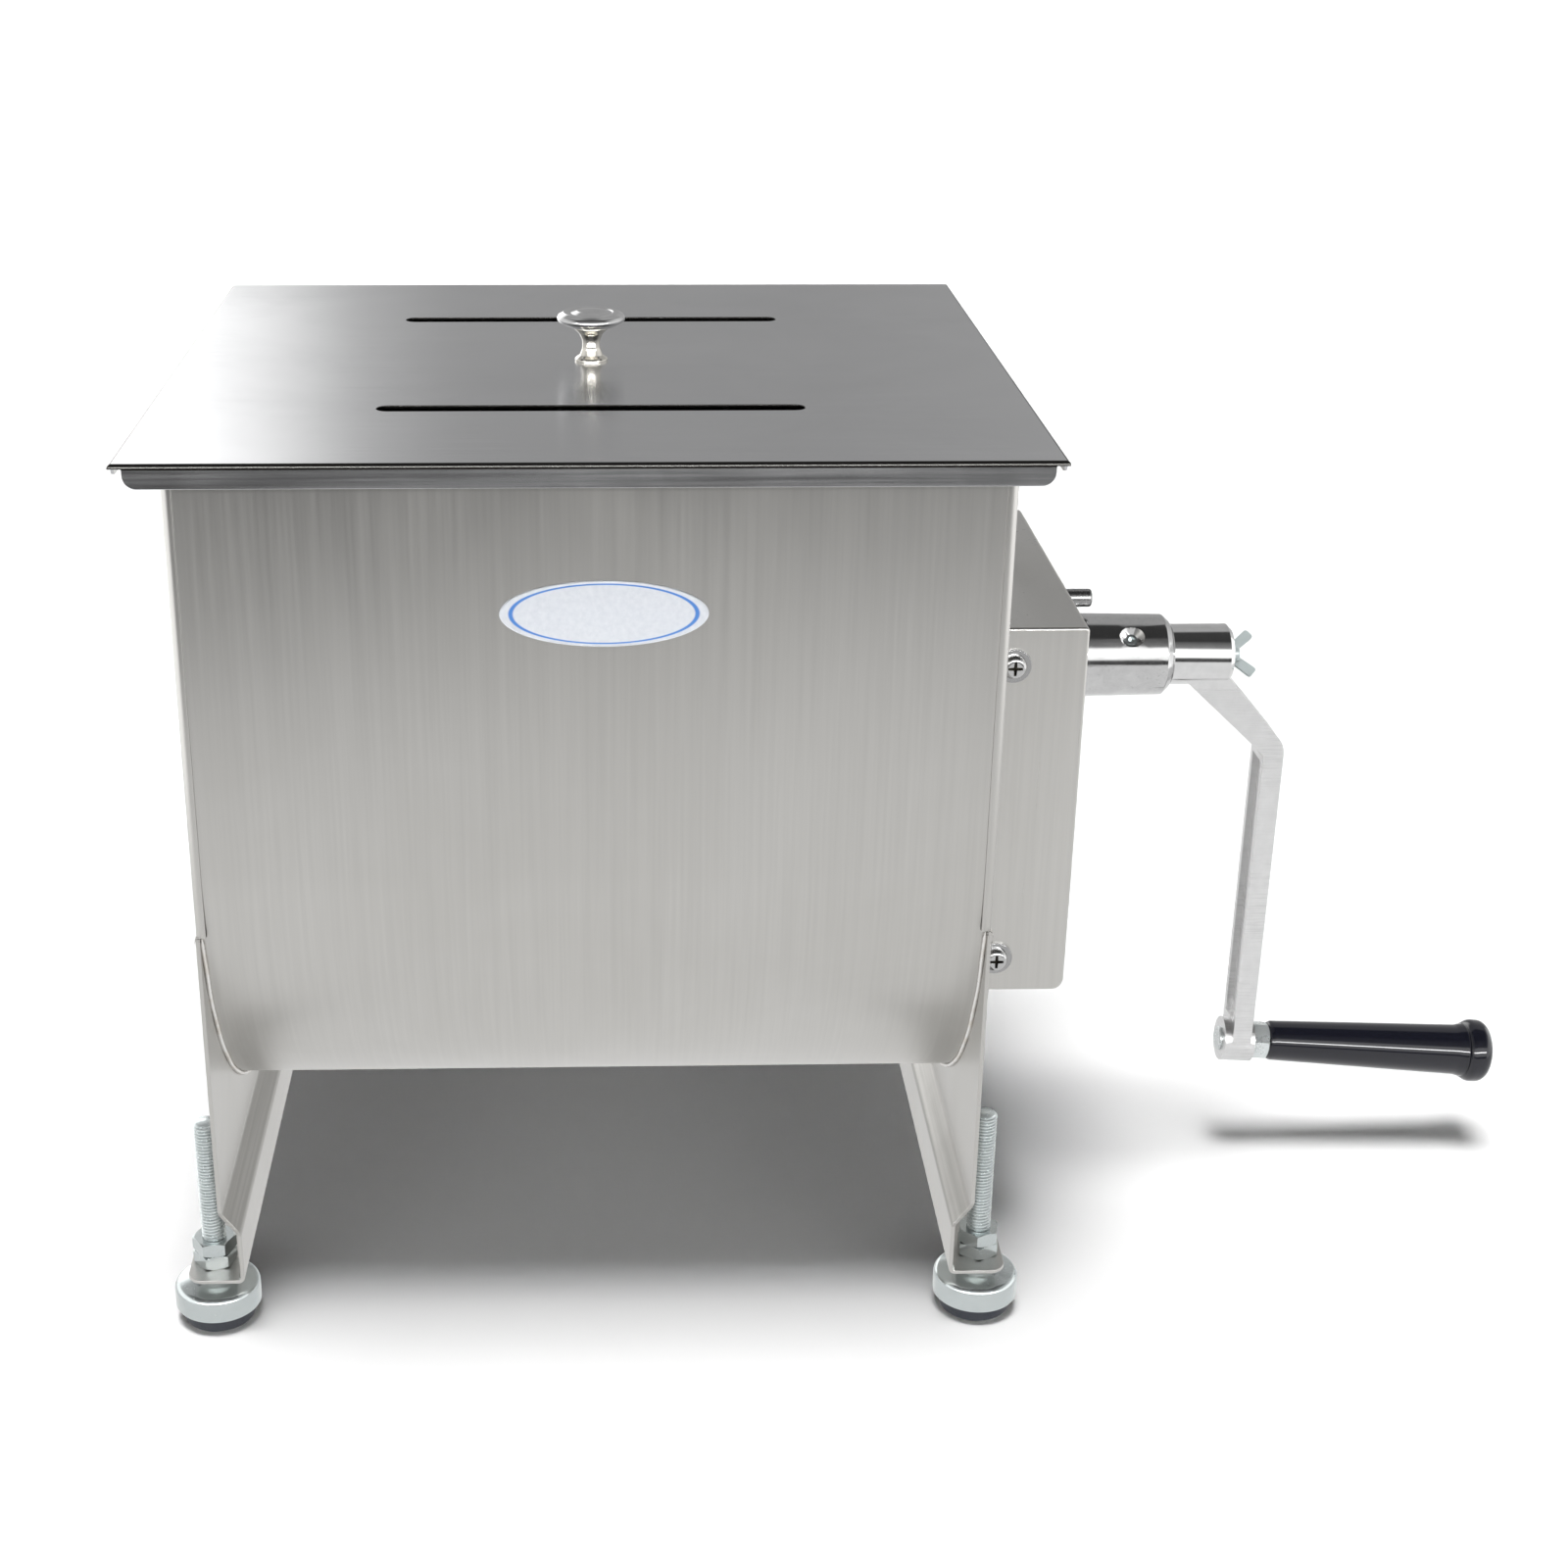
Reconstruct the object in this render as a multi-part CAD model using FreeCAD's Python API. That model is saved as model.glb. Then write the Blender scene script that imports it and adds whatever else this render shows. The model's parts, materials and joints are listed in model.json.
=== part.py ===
"""Hand-crank meat mixer: a U-bottomed tank on four levelling feet, a lift-off lid,
a side gearbox, a hanging crank and a paddle shaft.  Millimetres, +Z up.

The pieces are drawn about the tank's centre plane (X = 0) and are shifted by FRAME_X
when they are written, so that the origin is under the centre of the whole object's box.
"""
import FreeCAD
import Part
import math
import os

V = FreeCAD.Vector
X_AXIS = V(1, 0, 0)
Y_AXIS = V(0, 1, 0)
Z_AXIS = V(0, 0, 1)

# ---- driving dimensions -------------------------------------------------------------
TANK_LENGTH = 374.0        # outside, end plate to end plate (X)
TANK_DEPTH = 350.0         # outside, front wall to rear wall (Y)
RIM_Z = 453.3              # top edge of the tank
PADDLE_Z = 253.5           # paddle shaft axis, also the centre of the U bottom
SHELL_T = 1.5              # wrapper sheet
PLATE_T = 2.0              # end plate sheet
CORNER_FLANGE = 5.0        # how far an end plate turns on to the front and rear walls
FLANGE_END_Z = 222.0       # the corner flange stops here and the plate's edge is bare

LID_LENGTH = 410.0
LID_DEPTH = 386.0
LID_TOP_Z = 455.0
LID_T = 1.5
LID_FRONT_DROP = 11.0
LID_SIDE_DROP = 7.0
SLOT_LENGTH = 198.0
SLOT_WIDTH = 11.0
SLOT_Y = 97.0

JOGGLE_TOP_Z = 71.0        # the end plate steps inward below this height
JOGGLE_END_Z = 59.0
JOGGLE_IN = 9.0
FOOT_SHELF_Z = 30.3        # underside of the flange that carries the feet
FOOT_SHELF_REACH = 205.0

FOOT_X = 193.0
FOOT_Y = 156.0
STUD_R = 6.0               # M12
STUD_TOP_Z = 113.0
NUT_FLATS = 19.0
NUT_HEIGHT = 7.2
THREAD_GAP = 0.05          # radial clearance of a turning fit

BOX_X = 239.0              # outer face of the gearbox cover
BOX_HALF_Y = 100.5
BOX_BOTTOM_Z = 151.5
BOX_TOP_Z = 347.5
BOX_T = 1.5
BOX_FOLD_R = 1.5
BOX_SCREW_X = 203.0
BOX_SCREW_INSET_Z = 19.0
BOX_WASHER_T = 1.4
RECESS_DEPTH = 2.2         # of the cross in a screw head

GEAR_MODULE = 2.0
PINION_TEETH = 14
GEAR_TEETH = 30
GEAR_BACKLASH = 0.15
GEAR_CENTRES = GEAR_MODULE * (PINION_TEETH + GEAR_TEETH) / 2
CRANK_Z = PADDLE_Z + GEAR_CENTRES
PINION_X = (201.5, 218.5)
GEAR_X = (202.0, 218.0)
GEAR_KEY_X = (201.5, 216.0)
PINION_BORE_R = 7.5
PINION_PIN_X = 222.3
SHAFT_SHOULDER_X = (226.0, 231.8)

COLLAR_END_X = 302.0
COLLAR_R = 22.2
PIN_Z = 329.0
PIN_R = 4.75
PIN_TAIL_R = 4.0
SET_SCREW_X = 280.0
BOSS_R = 16.0
BOSS_X = (302.5, 335.4)
CRANK_BORE_R = 9.0
CRANK_KEY_X = (310.0, 330.0)
ARM_X = (356.8, 367.2)     # inner and outer face of the crank's straight part
ARM_HALF_Y = 12.0
CRANK_RADIUS = 231.5
WING_SCREW_R = 3.0         # M6
WING_TURN = -42.0          # degrees about X that the wings stand at
GRIP_TILT = 3.9            # degrees, outer end down
GRIP_START = 18.0          # from the crank end's centre, along the tilted axis
GRIP_LENGTH = 126.6
SPINDLE_X = 361.0
SPINDLE_R = 5.0
SPINDLE_SEAT = 8.5         # half the length of the crank's end boss
END_BOSS_R = 12.3

SHAFT_R = 10.0
BUSH_R = 13.0              # outside of every shaft bush
SEAL_R = 15.0
PADDLE_STATIONS = (-132.0, -44.0, 44.0, 132.0)
PADDLE_ANGLES = (45.0, 135.0, 225.0, 315.0)
BLADE_TIP_R = 165.0

FRAME_X = -145.9           # puts the origin under the middle of the whole length

HALF_LENGTH = TANK_LENGTH / 2
HALF_DEPTH = TANK_DEPTH / 2
CORNERS = (("fl", -1, -1), ("fr", 1, -1), ("rl", -1, 1), ("rr", 1, 1))

os.makedirs("parts", exist_ok=True)


# ---- helpers ------------------------------------------------------------------------
def write(name, *solids):
    """Writes one node, as one solid or as a group of separate solids."""
    shape = solids[0] if len(solids) == 1 else Part.makeCompound(list(solids))
    shape = shape.copy()
    shape.translate(V(FRAME_X, 0, 0))
    shape.exportStep(f"parts/{name}.step")
    box = shape.optimalBoundingBox(True, False)
    print(f"{name:24s} valid={shape.isValid()} solids={len(shape.Solids)} "
          f"x {box.XMin:.1f}..{box.XMax:.1f} y {box.YMin:.1f}..{box.YMax:.1f} "
          f"z {box.ZMin:.1f}..{box.ZMax:.1f}")
    return box


def on_xz(u, v):
    return V(u, 0, v)


def on_yz(u, v):
    return V(0, u, v)


def on_xy(u, v):
    return V(u, v, 0)


def rounded_face(corners, place):
    """Face inside a closed outline of (u, v) or (u, v, corner radius) points."""
    count = len(corners)
    starts, ends, middles = [], [], []
    for i, corner in enumerate(corners):
        here = V(corner[0], corner[1], 0)
        radius = corner[2] if len(corner) > 2 else 0.0
        before = V(*corners[i - 1][:2], 0) - here
        after = V(*corners[(i + 1) % count][:2], 0) - here
        half = before.getAngle(after) / 2
        if radius <= 0:
            starts.append(here)
            ends.append(here)
            middles.append(None)
            continue
        before.normalize()
        after.normalize()
        run = radius / math.tan(half)
        bisector = (before + after).normalize()
        starts.append(here + before * run)
        ends.append(here + after * run)
        middles.append(here + bisector * (radius / math.sin(half) - radius))
    edges = []
    for i in range(count):
        first, last = place(*starts[i][:2]), place(*ends[i][:2])
        if middles[i] is not None:
            edges.append(Part.Arc(first, place(*middles[i][:2]), last).toShape())
        following = place(*starts[(i + 1) % count][:2])
        if last.distanceToPoint(following) > 1e-6:
            edges.append(Part.LineSegment(last, following).toShape())
    return Part.Face(Part.Wire(edges))


def sheet_outline(path, thickness):
    """Closed outline of a bent sheet, from its middle line of (u, v, bend radius)."""
    points = [V(p[0], p[1], 0) for p in path]
    radii = [p[2] if len(p) > 2 else 0.0 for p in path]
    runs = [(points[i + 1] - points[i]).normalize() for i in range(len(points) - 1)]
    normals = [V(-run.y, run.x, 0) for run in runs]
    sides = ([], [])
    for i, point in enumerate(points):
        before = normals[max(i - 1, 0)]
        after = normals[min(i, len(normals) - 1)]
        mitre = (before + after) * (thickness / 2 / (1 + before.dot(after)))
        turn = before.cross(after).z
        for side, sign in ((sides[0], 1), (sides[1], -1)):
            radius = 0.0
            if radii[i] > 0:
                radius = radii[i] - sign * math.copysign(thickness / 2, turn)
            corner = point + mitre * sign
            side.append((corner.x, corner.y, radius))
    return sides[0] + sides[1][::-1]


def slab(x, y, z):
    """Box from three (low, high) pairs."""
    return Part.makeBox(x[1] - x[0], y[1] - y[0], z[1] - z[0], V(x[0], y[0], z[0]))


def rod(radius, start, end):
    """Cylinder from one point to another."""
    run = end - start
    return Part.makeCylinder(radius, run.Length, start, run)


def rod_x(radius, x, y=0.0, z=PADDLE_Z):
    """Cylinder along X between two x values."""
    return rod(radius, V(x[0], y, z), V(x[1], y, z))


def turned_x(profile, z):
    """Solid of revolution about the X direction at height z, from (x, radius, round) corners."""
    face = rounded_face(profile, on_xz)
    solid = face.revolve(V(0, 0, 0), X_AXIS, 360)
    solid.translate(V(0, 0, z))
    return solid


def turned_z(profile, x=0.0, y=0.0):
    """Solid of revolution about a vertical axis, from (radius, z, round) corners."""
    solid = rounded_face(profile, on_xz).revolve(V(0, 0, 0), Z_AXIS, 360)
    solid.translate(V(x, y, 0))
    return solid


def mirrored_x(shape):
    return shape.mirror(V(0, 0, 0), X_AXIS)


def mirrored_y(shape):
    return shape.mirror(V(0, 0, 0), Y_AXIS)


def hexagon(flats, height, base, direction, turn=0.0):
    """Hexagonal prism standing on base along direction."""
    radius = flats / math.sqrt(3)
    corners = [math.radians(turn + 60 * i) for i in range(6)]
    points = [V(radius * math.cos(a), radius * math.sin(a), 0) for a in corners]
    prism = Part.Face(Part.makePolygon(points + points[:1])).extrude(V(0, 0, height))
    prism.Placement = FreeCAD.Placement(base, FreeCAD.Rotation(Z_AXIS, direction))
    return prism


# ---- tank ---------------------------------------------------------------------------
def tank_shell():
    """One sheet wrapped down the front wall, round the U bottom and up the rear wall."""
    mid = HALF_DEPTH - SHELL_T / 2
    floor = PADDLE_Z - mid
    path = [(-mid, RIM_Z), (-mid, floor, mid), (mid, floor, mid), (mid, RIM_Z)]
    half = HALF_LENGTH - PLATE_T
    shell = rounded_face(sheet_outline(path, SHELL_T), on_yz).extrude(V(2 * half, 0, 0))
    shell.translate(V(-half, 0, 0))
    joint_x = HALF_LENGTH - CORNER_FLANGE
    for side in (-1, 1):
        span = sorted((side * joint_x, side * HALF_LENGTH))
        shell = shell.cut(slab(span, (-HALF_DEPTH - 1, HALF_DEPTH + 1), (FLANGE_END_Z, RIM_Z + 1)))
    return shell


def end_plate():
    """Right end plate: turned corners above, a bare edge below, a step and the foot shelf."""
    mid_x = HALF_LENGTH - PLATE_T / 2
    mid_y = HALF_DEPTH - PLATE_T / 2
    flange_x = HALF_LENGTH - CORNER_FLANGE
    plan = [(flange_x, -mid_y), (mid_x, -mid_y, 3), (mid_x, mid_y, 3), (flange_x, mid_y)]
    upper = rounded_face(sheet_outline(plan, PLATE_T), on_xy).extrude(V(0, 0, RIM_Z - FLANGE_END_Z))
    upper.translate(V(0, 0, FLANGE_END_Z))
    web_x = mid_x - JOGGLE_IN
    shelf_z = FOOT_SHELF_Z + PLATE_T / 2
    section = [(mid_x, FLANGE_END_Z), (mid_x, JOGGLE_TOP_Z, 5), (web_x, JOGGLE_END_Z, 5),
               (web_x, shelf_z, 2.5), (FOOT_SHELF_REACH, shelf_z)]
    lower = rounded_face(sheet_outline(section, PLATE_T), on_xz).extrude(V(0, TANK_DEPTH, 0))
    lower.translate(V(0, -HALF_DEPTH, 0))
    corner_edges = [e for e in lower.Edges
                    if e.BoundBox.XMin > FOOT_SHELF_REACH - 0.1 and e.Length < PLATE_T + 0.1]
    lower = lower.makeFillet(8, corner_edges)
    plate = upper.fuse(lower).removeSplitter()
    plate = plate.cut(rod_x(SHAFT_R + 1, (HALF_LENGTH - 5, HALF_LENGTH + 5)))
    for y, z in bearing_screw_places():
        plate = plate.cut(rod_x(2.5, (HALF_LENGTH - 5, HALF_LENGTH + 5), y, z))
    for side in (-1, 1):
        hole = V(FOOT_X, side * FOOT_Y, FOOT_SHELF_Z - 1)
        plate = plate.cut(Part.makeCylinder(STUD_R + 0.5, PLATE_T + 2, hole))
    return plate


def badge_plate():
    """Plain oval plate on the front wall."""
    oval = Part.Ellipse(V(0, 0, 0), 46.5, 15.5).toShape()
    plate = Part.Face(Part.Wire([oval])).extrude(V(0, 0, 0.8))
    plate.rotate(V(0, 0, 0), X_AXIS, 90)
    plate.translate(V(5, -HALF_DEPTH, 381.5))
    return plate


# ---- lid ----------------------------------------------------------------------------
def lid_panel():
    """Shallow tray, open at its corners, with two long slots."""
    half_x, half_y = LID_LENGTH / 2, LID_DEPTH / 2
    low = LID_TOP_Z - LID_FRONT_DROP
    outer = slab((-half_x, half_x), (-half_y, half_y), (low, LID_TOP_Z))
    top_edges = [e for e in outer.Edges if e.BoundBox.ZMin > LID_TOP_Z - 0.1]
    outer = outer.makeFillet(2, top_edges)
    inner = slab((-half_x + LID_T, half_x - LID_T), (-half_y + LID_T, half_y - LID_T),
                 (low - 1, LID_TOP_Z - LID_T))
    lid = outer.cut(inner)
    under = LID_TOP_Z - 2.2
    keep_front = rounded_face([(-199, under + 3), (-199, low, 6), (199, low, 6), (199, under + 3)],
                              on_xz).extrude(V(0, LID_DEPTH + 4, 0))
    keep_front.translate(V(0, -half_y - 2, 0))
    side_low = LID_TOP_Z - LID_SIDE_DROP
    keep_side = rounded_face([(-186, under + 3), (-186, side_low, 4), (186, side_low, 4),
                              (186, under + 3)], on_yz).extrude(V(LID_LENGTH + 4, 0, 0))
    keep_side.translate(V(-half_x - 2, 0, 0))
    for side in (-1, 1):
        band_y = sorted((side * (half_y - 4), side * (half_y + 1)))
        lid = lid.cut(slab((-half_x - 1, half_x + 1), band_y, (low - 1, under)).cut(keep_front))
        band_x = sorted((side * (half_x - 4), side * (half_x + 1)))
        lid = lid.cut(slab(band_x, (-half_y + 4, half_y - 4), (low - 1, under)).cut(keep_side))
        lid = lid.cut(slot_cutter(side * SLOT_Y))
    return lid.cut(Part.makeCylinder(2.6, 10, V(0, 0, LID_TOP_Z - 5)))


def slot_cutter(y):
    half, r = SLOT_LENGTH / 2, SLOT_WIDTH / 2
    face = rounded_face([(-half, -r, r - 0.01), (half, -r, r - 0.01), (half, r, r - 0.01),
                         (-half, r, r - 0.01)], on_xy)
    cutter = face.extrude(V(0, 0, 10))
    cutter.translate(V(0, y, LID_TOP_Z - 5))
    return cutter


def lid_knob():
    """Turned knob: round foot, waisted stem and a thin disc."""
    z = LID_TOP_Z
    stem = [(0, z), (8.2, z), (8.2, z + 1.8, 0.6), (4.8, z + 5, 4), (4.8, z + 11, 4),
            (9, z + 16.8), (13, z + 17.6), (17, z + 20.4, 1.4), (17, z + 22, 1.4),
            (13.5, z + 24.6, 3), (0, z + 25.5)]
    return turned_z(stem).cut(Part.makeCylinder(2.5, 14, V(0, 0, z)))


def knob_washer():
    z = LID_TOP_Z - LID_T
    return turned_z([(2.6, z - 1), (6.5, z - 1), (6.5, z), (2.6, z)])


def knob_screw():
    z = LID_TOP_Z - LID_T - 1
    return turned_z([(0, z - 3), (4.6, z - 3, 1.2), (4.6, z), (2.5, z), (2.5, z + 15), (0, z + 15)])


# ---- gearbox casing -----------------------------------------------------------------
def gearbox_cover():
    """Open-backed box of folded sheet on the right end plate."""
    outer = slab((HALF_LENGTH, BOX_X), (-BOX_HALF_Y, BOX_HALF_Y), (BOX_BOTTOM_Z, BOX_TOP_Z))

    def face_edge(test):
        return [e for e in outer.Edges if e.BoundBox.XMin > BOX_X - 0.1 and test(e.BoundBox)]
    outer = outer.makeFillet(6, face_edge(lambda b: b.ZMax < BOX_BOTTOM_Z + 0.1))
    outer = outer.makeFillet(2.2, face_edge(lambda b: b.ZMin > BOX_TOP_Z - 0.1))
    side_folds = [e for e in outer.Edges if e.BoundBox.YLength < 0.1
                  and e.BoundBox.XMax > HALF_LENGTH + 0.1]
    outer = outer.makeFillet(BOX_FOLD_R, side_folds)
    inner = slab((HALF_LENGTH - 1, BOX_X - BOX_T), (-BOX_HALF_Y + BOX_T, BOX_HALF_Y - BOX_T),
                 (BOX_BOTTOM_Z + BOX_T, BOX_TOP_Z - BOX_T))
    inner_low = [e for e in inner.Edges if e.BoundBox.XMin > BOX_X - BOX_T - 0.1
                 and e.BoundBox.ZMax < BOX_BOTTOM_Z + BOX_T + 0.1]
    cover = outer.cut(inner.makeFillet(4.5, inner_low))
    cover = cover.cut(rod_x(COLLAR_R, (BOX_X - 5, BOX_X + 5), 0, CRANK_Z))
    cover = cover.cut(rod_x(PIN_TAIL_R, (BOX_X - 5, BOX_X + 5), 0, PIN_Z))
    for y, z in box_screw_places():
        cover = cover.cut(rod(3.2, V(BOX_SCREW_X, y - 5, z), V(BOX_SCREW_X, y + 5, z)))
    return cover


def box_screw_places():
    heights = (BOX_BOTTOM_Z + BOX_SCREW_INSET_Z, BOX_TOP_Z - BOX_SCREW_INSET_Z)
    return [(side * BOX_HALF_Y, z) for side in (-1, 1) for z in heights]


def cover_bracket():
    """Front angle strip, welded to the end plate; the cover's screws go into it."""
    y = -BOX_HALF_Y + BOX_T
    low, high = BOX_BOTTOM_Z + 8, BOX_TOP_Z - 8
    section = [(HALF_LENGTH, y), (HALF_LENGTH + 30, y), (HALF_LENGTH + 30, y + 2),
               (HALF_LENGTH + 2, y + 2), (HALF_LENGTH + 2, y + 18), (HALF_LENGTH, y + 18)]
    bracket = rounded_face(section, on_xy).extrude(V(0, 0, high - low))
    bracket.translate(V(0, 0, low))
    for _, z in box_screw_places()[:2]:
        bracket = bracket.cut(rod(3.0, V(BOX_SCREW_X, y - 2, z), V(BOX_SCREW_X, y + 5, z)))
    return bracket


def cross_screw(head_r, head_h, shank_r, shank_l):
    """Pan-head screw with a cross recess; the head's seat is at the origin, head towards +Z."""
    screw = turned_z([(0, -shank_l), (shank_r, -shank_l), (shank_r, 0), (head_r, 0),
                      (head_r, head_h, head_h * 0.7), (0, head_h)])
    return screw.cut(cross_recess(head_r * 0.6, head_h))


def cross_recess(reach, top):
    """Cutter for a cross recess: four tapered arms round a square core."""
    points = []
    for quarter in range(4):
        for angle, radius in ((-10, reach), (10, reach), (45, reach * 0.32)):
            turn = math.radians(90 * quarter + angle)
            points.append(V(radius * math.cos(turn), radius * math.sin(turn), top - RECESS_DEPTH))
    return Part.Face(Part.makePolygon(points + points[:1])).extrude(V(0, 0, RECESS_DEPTH + 1))


def placed(shape, base, direction):
    """The shape with its own +Z turned to direction and its origin moved to base."""
    shape = shape.copy()
    shape.Placement = FreeCAD.Placement(base, FreeCAD.Rotation(Z_AXIS, direction))
    return shape


def gearbox_screws():
    screws = []
    for y, z in box_screw_places():
        outward = V(0, math.copysign(1, y), 0)
        seat = V(BOX_SCREW_X, y, z) + outward * BOX_WASHER_T
        screws.append(placed(cross_screw(6, 4, 3, 12), seat, outward))
    return screws


def gearbox_washers():
    ring = turned_z([(3.2, 0), (8.6, 0), (8.6, BOX_WASHER_T, 0.5), (3.2, BOX_WASHER_T)])
    return [placed(ring, V(BOX_SCREW_X, y, z), V(0, math.copysign(1, y), 0))
            for y, z in box_screw_places()]


def hub_collar():
    """Tapered spigot round the drive shaft, flanged inside the cover."""
    end = COLLAR_END_X
    inner = BOX_X - BOX_T
    collar = turned_x([(inner - 5.5, BUSH_R), (end, BUSH_R), (end, 18.0, 1), (end - 3.4, 21.2, 1.5),
                       (BOX_X, COLLAR_R), (inner, COLLAR_R), (inner, 26), (inner - 5.5, 26)],
                      CRANK_Z)
    base, out = collar_screw_axis()
    collar = collar.cut(rod(3.0, base, base + out * 30))
    cone = Part.makeCone(3.0, 7.0, 4.0, base + out * (COLLAR_R - 4.2), out)
    return collar.cut(cone)


def collar_screw_axis():
    """A point on the crank axis and the outward direction of the set screw's hole."""
    return V(SET_SCREW_X, 0, CRANK_Z), V(0, -1, 1).normalize()


def collar_set_screw():
    base, out = collar_screw_axis()
    screw = rod(3.0, base + out * 13.1, base + out * 18)
    return screw.cut(hexagon(3, 4, base + out * 15.2, out))


def locating_pin():
    """Shouldered pin: a thin tail through the cover and a round-nosed free end."""
    tail = BOX_X - BOX_T - 5
    tip = BOX_X + 21
    return turned_x([(tail, 0), (tail, PIN_TAIL_R), (BOX_X, PIN_TAIL_R), (BOX_X, PIN_R),
                     (tip, PIN_R, 1.6), (tip, 0)], PIN_Z)


# ---- bearings -----------------------------------------------------------------------
def bearing_screw_places():
    angles = [math.radians(90 + 120 * i) for i in range(3)]
    return [(26 * math.cos(a), PADDLE_Z + 26 * math.sin(a)) for a in angles]


def bearing_housing(length, closed):
    """Flanged housing on the outside of the right end plate."""
    x = HALF_LENGTH
    end = x + length
    profile = [(x, SEAL_R), (x, 32), (x + 4, 32, 1), (x + 4, 20), (end, 20, 1)]
    if closed:
        profile += [(end, 0), (end - 2.5, 0), (end - 2.5, BUSH_R)]
    else:
        profile += [(end, BUSH_R)]
    profile += [(x + 6, BUSH_R), (x + 6, SEAL_R)]
    housing = turned_x(profile, PADDLE_Z)
    for y, z in bearing_screw_places():
        housing = housing.cut(rod_x(2.6, (x - 1, x + 5), y, z))
    return housing


def bearing_screws():
    head = cross_screw(4.5, 3, 2.5, PLATE_T + 4)
    right = [placed(head, V(HALF_LENGTH + 4, y, z), X_AXIS) for y, z in bearing_screw_places()]
    return right + [mirrored_x(screw) for screw in right]


def plain_bush(x, inner_r, outer_r, z):
    return turned_x([(x[0], inner_r), (x[1], inner_r), (x[1], outer_r), (x[0], outer_r)], z)


def shaft_seal():
    return plain_bush((HALF_LENGTH, HALF_LENGTH + 5.5), SHAFT_R + 0.08, SEAL_R, PADDLE_Z)


# ---- drive --------------------------------------------------------------------------
def involute(angle):
    return math.tan(angle) - angle


def spur_gear(teeth, x, z, phase):
    """Involute spur gear along X; phase is the direction of one tooth's middle, in degrees."""
    pressure = math.radians(20)
    pitch_r = GEAR_MODULE * teeth / 2
    base_r = pitch_r * math.cos(pressure)
    tip_r = pitch_r + 0.9 * GEAR_MODULE
    root_r = pitch_r - 1.25 * GEAR_MODULE
    start_r = max(base_r, root_r)
    half_pitch = math.pi / (2 * teeth) - GEAR_BACKLASH / (4 * pitch_r) + involute(pressure)

    def at(radius, angle):
        return V(x[0], radius * math.cos(angle), z + radius * math.sin(angle))

    def half_width(radius):
        return half_pitch - involute(math.acos(min(base_r / radius, 1.0)))
    steps = [start_r + (tip_r - start_r) * i / 6 for i in range(7)]
    edges = []
    for tooth in range(teeth):
        middle = math.radians(phase) + 2 * math.pi * tooth / teeth
        rise = [at(r, middle - half_width(r)) for r in steps]
        fall = [at(r, middle + half_width(r)) for r in reversed(steps)]
        foot_in = at(root_r, middle - half_width(start_r))
        foot_out = at(root_r, middle + half_width(start_r))
        next_foot = at(root_r, middle + 2 * math.pi / teeth - half_width(start_r))
        gap_middle = at(root_r, middle + math.pi / teeth)
        edges.append(Part.LineSegment(foot_in, rise[0]).toShape())
        edges.append(interpolated(rise))
        edges.append(Part.Arc(rise[-1], at(tip_r, middle), fall[0]).toShape())
        edges.append(interpolated(fall))
        edges.append(Part.LineSegment(fall[-1], foot_out).toShape())
        edges.append(Part.Arc(foot_out, gap_middle, next_foot).toShape())
    face = Part.Face(Part.Wire(edges))
    return face.extrude(V(x[1] - x[0], 0, 0))


def interpolated(points):
    curve = Part.BSplineCurve()
    curve.interpolate(points)
    return curve.toShape()


def key_block(x, z, radius, width=6.0):
    """Parallel key on top of a shaft, half of it sunk in."""
    return slab(x, (-width / 2, width / 2), (z + radius - 3, z + radius + 2))


def drive_shaft():
    shoulder = SHAFT_SHOULDER_X
    tail, tip = GEAR_X[0] - 3, BOSS_X[1] - 1
    shaft = turned_x([(tail, 0), (tail, PINION_BORE_R, 0.5), (shoulder[0], PINION_BORE_R),
                      (shoulder[0], 12.5), (shoulder[1], 12.5), (shoulder[1], SHAFT_R),
                      (BOSS_X[0], SHAFT_R), (BOSS_X[0], CRANK_BORE_R), (tip, CRANK_BORE_R, 0.5),
                      (tip, 0)], CRANK_Z)
    shaft = shaft.cut(rod_x(WING_SCREW_R + THREAD_GAP, (BOSS_X[1] - 26, BOSS_X[1]), 0, CRANK_Z))
    shaft = shaft.cut(key_block(CRANK_KEY_X, CRANK_Z, CRANK_BORE_R))
    return shaft.cut(pinion_pin())


def drive_pinion():
    gear = spur_gear(PINION_TEETH, PINION_X, CRANK_Z, -90)
    hub = rod_x(11, (PINION_X[1], SHAFT_SHOULDER_X[0]), 0, CRANK_Z)
    return gear.fuse(hub).cut(rod_x(PINION_BORE_R, (190, 240), 0, CRANK_Z)).cut(pinion_pin())


def pinion_pin():
    return rod(2, V(PINION_PIN_X, 0, CRANK_Z - 11.4), V(PINION_PIN_X, 0, CRANK_Z + 11.4))


def paddle_shaft():
    shaft = rod_x(SHAFT_R, (-HALF_LENGTH - 10.5, GEAR_X[1] - 0.5))
    shaft = shaft.makeChamfer(1, [shaft.Edges[0], shaft.Edges[2]])
    shaft = shaft.cut(rod_x(3, (GEAR_X[0], GEAR_X[1] + 2)))
    return shaft.cut(key_block(GEAR_KEY_X, PADDLE_Z, SHAFT_R))


def driven_gear():
    gear = spur_gear(GEAR_TEETH, GEAR_X, PADDLE_Z, 90 + 180 / GEAR_TEETH)
    hub = rod_x(17, (199.5, GEAR_X[0]))
    gear = gear.fuse(hub).cut(rod_x(SHAFT_R, (190, 230)))
    return gear.cut(key_block(GEAR_KEY_X, PADDLE_Z, SHAFT_R))


def gear_washer():
    return plain_bush((GEAR_X[1], GEAR_X[1] + 2.5), 3, 14, PADDLE_Z)


def gear_screw():
    seat = GEAR_X[1] + 2.5
    head = hexagon(10, 4, V(seat, 0, PADDLE_Z), X_AXIS)
    return head.fuse(rod_x(3, (GEAR_X[0] + 0.5, seat)))


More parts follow.
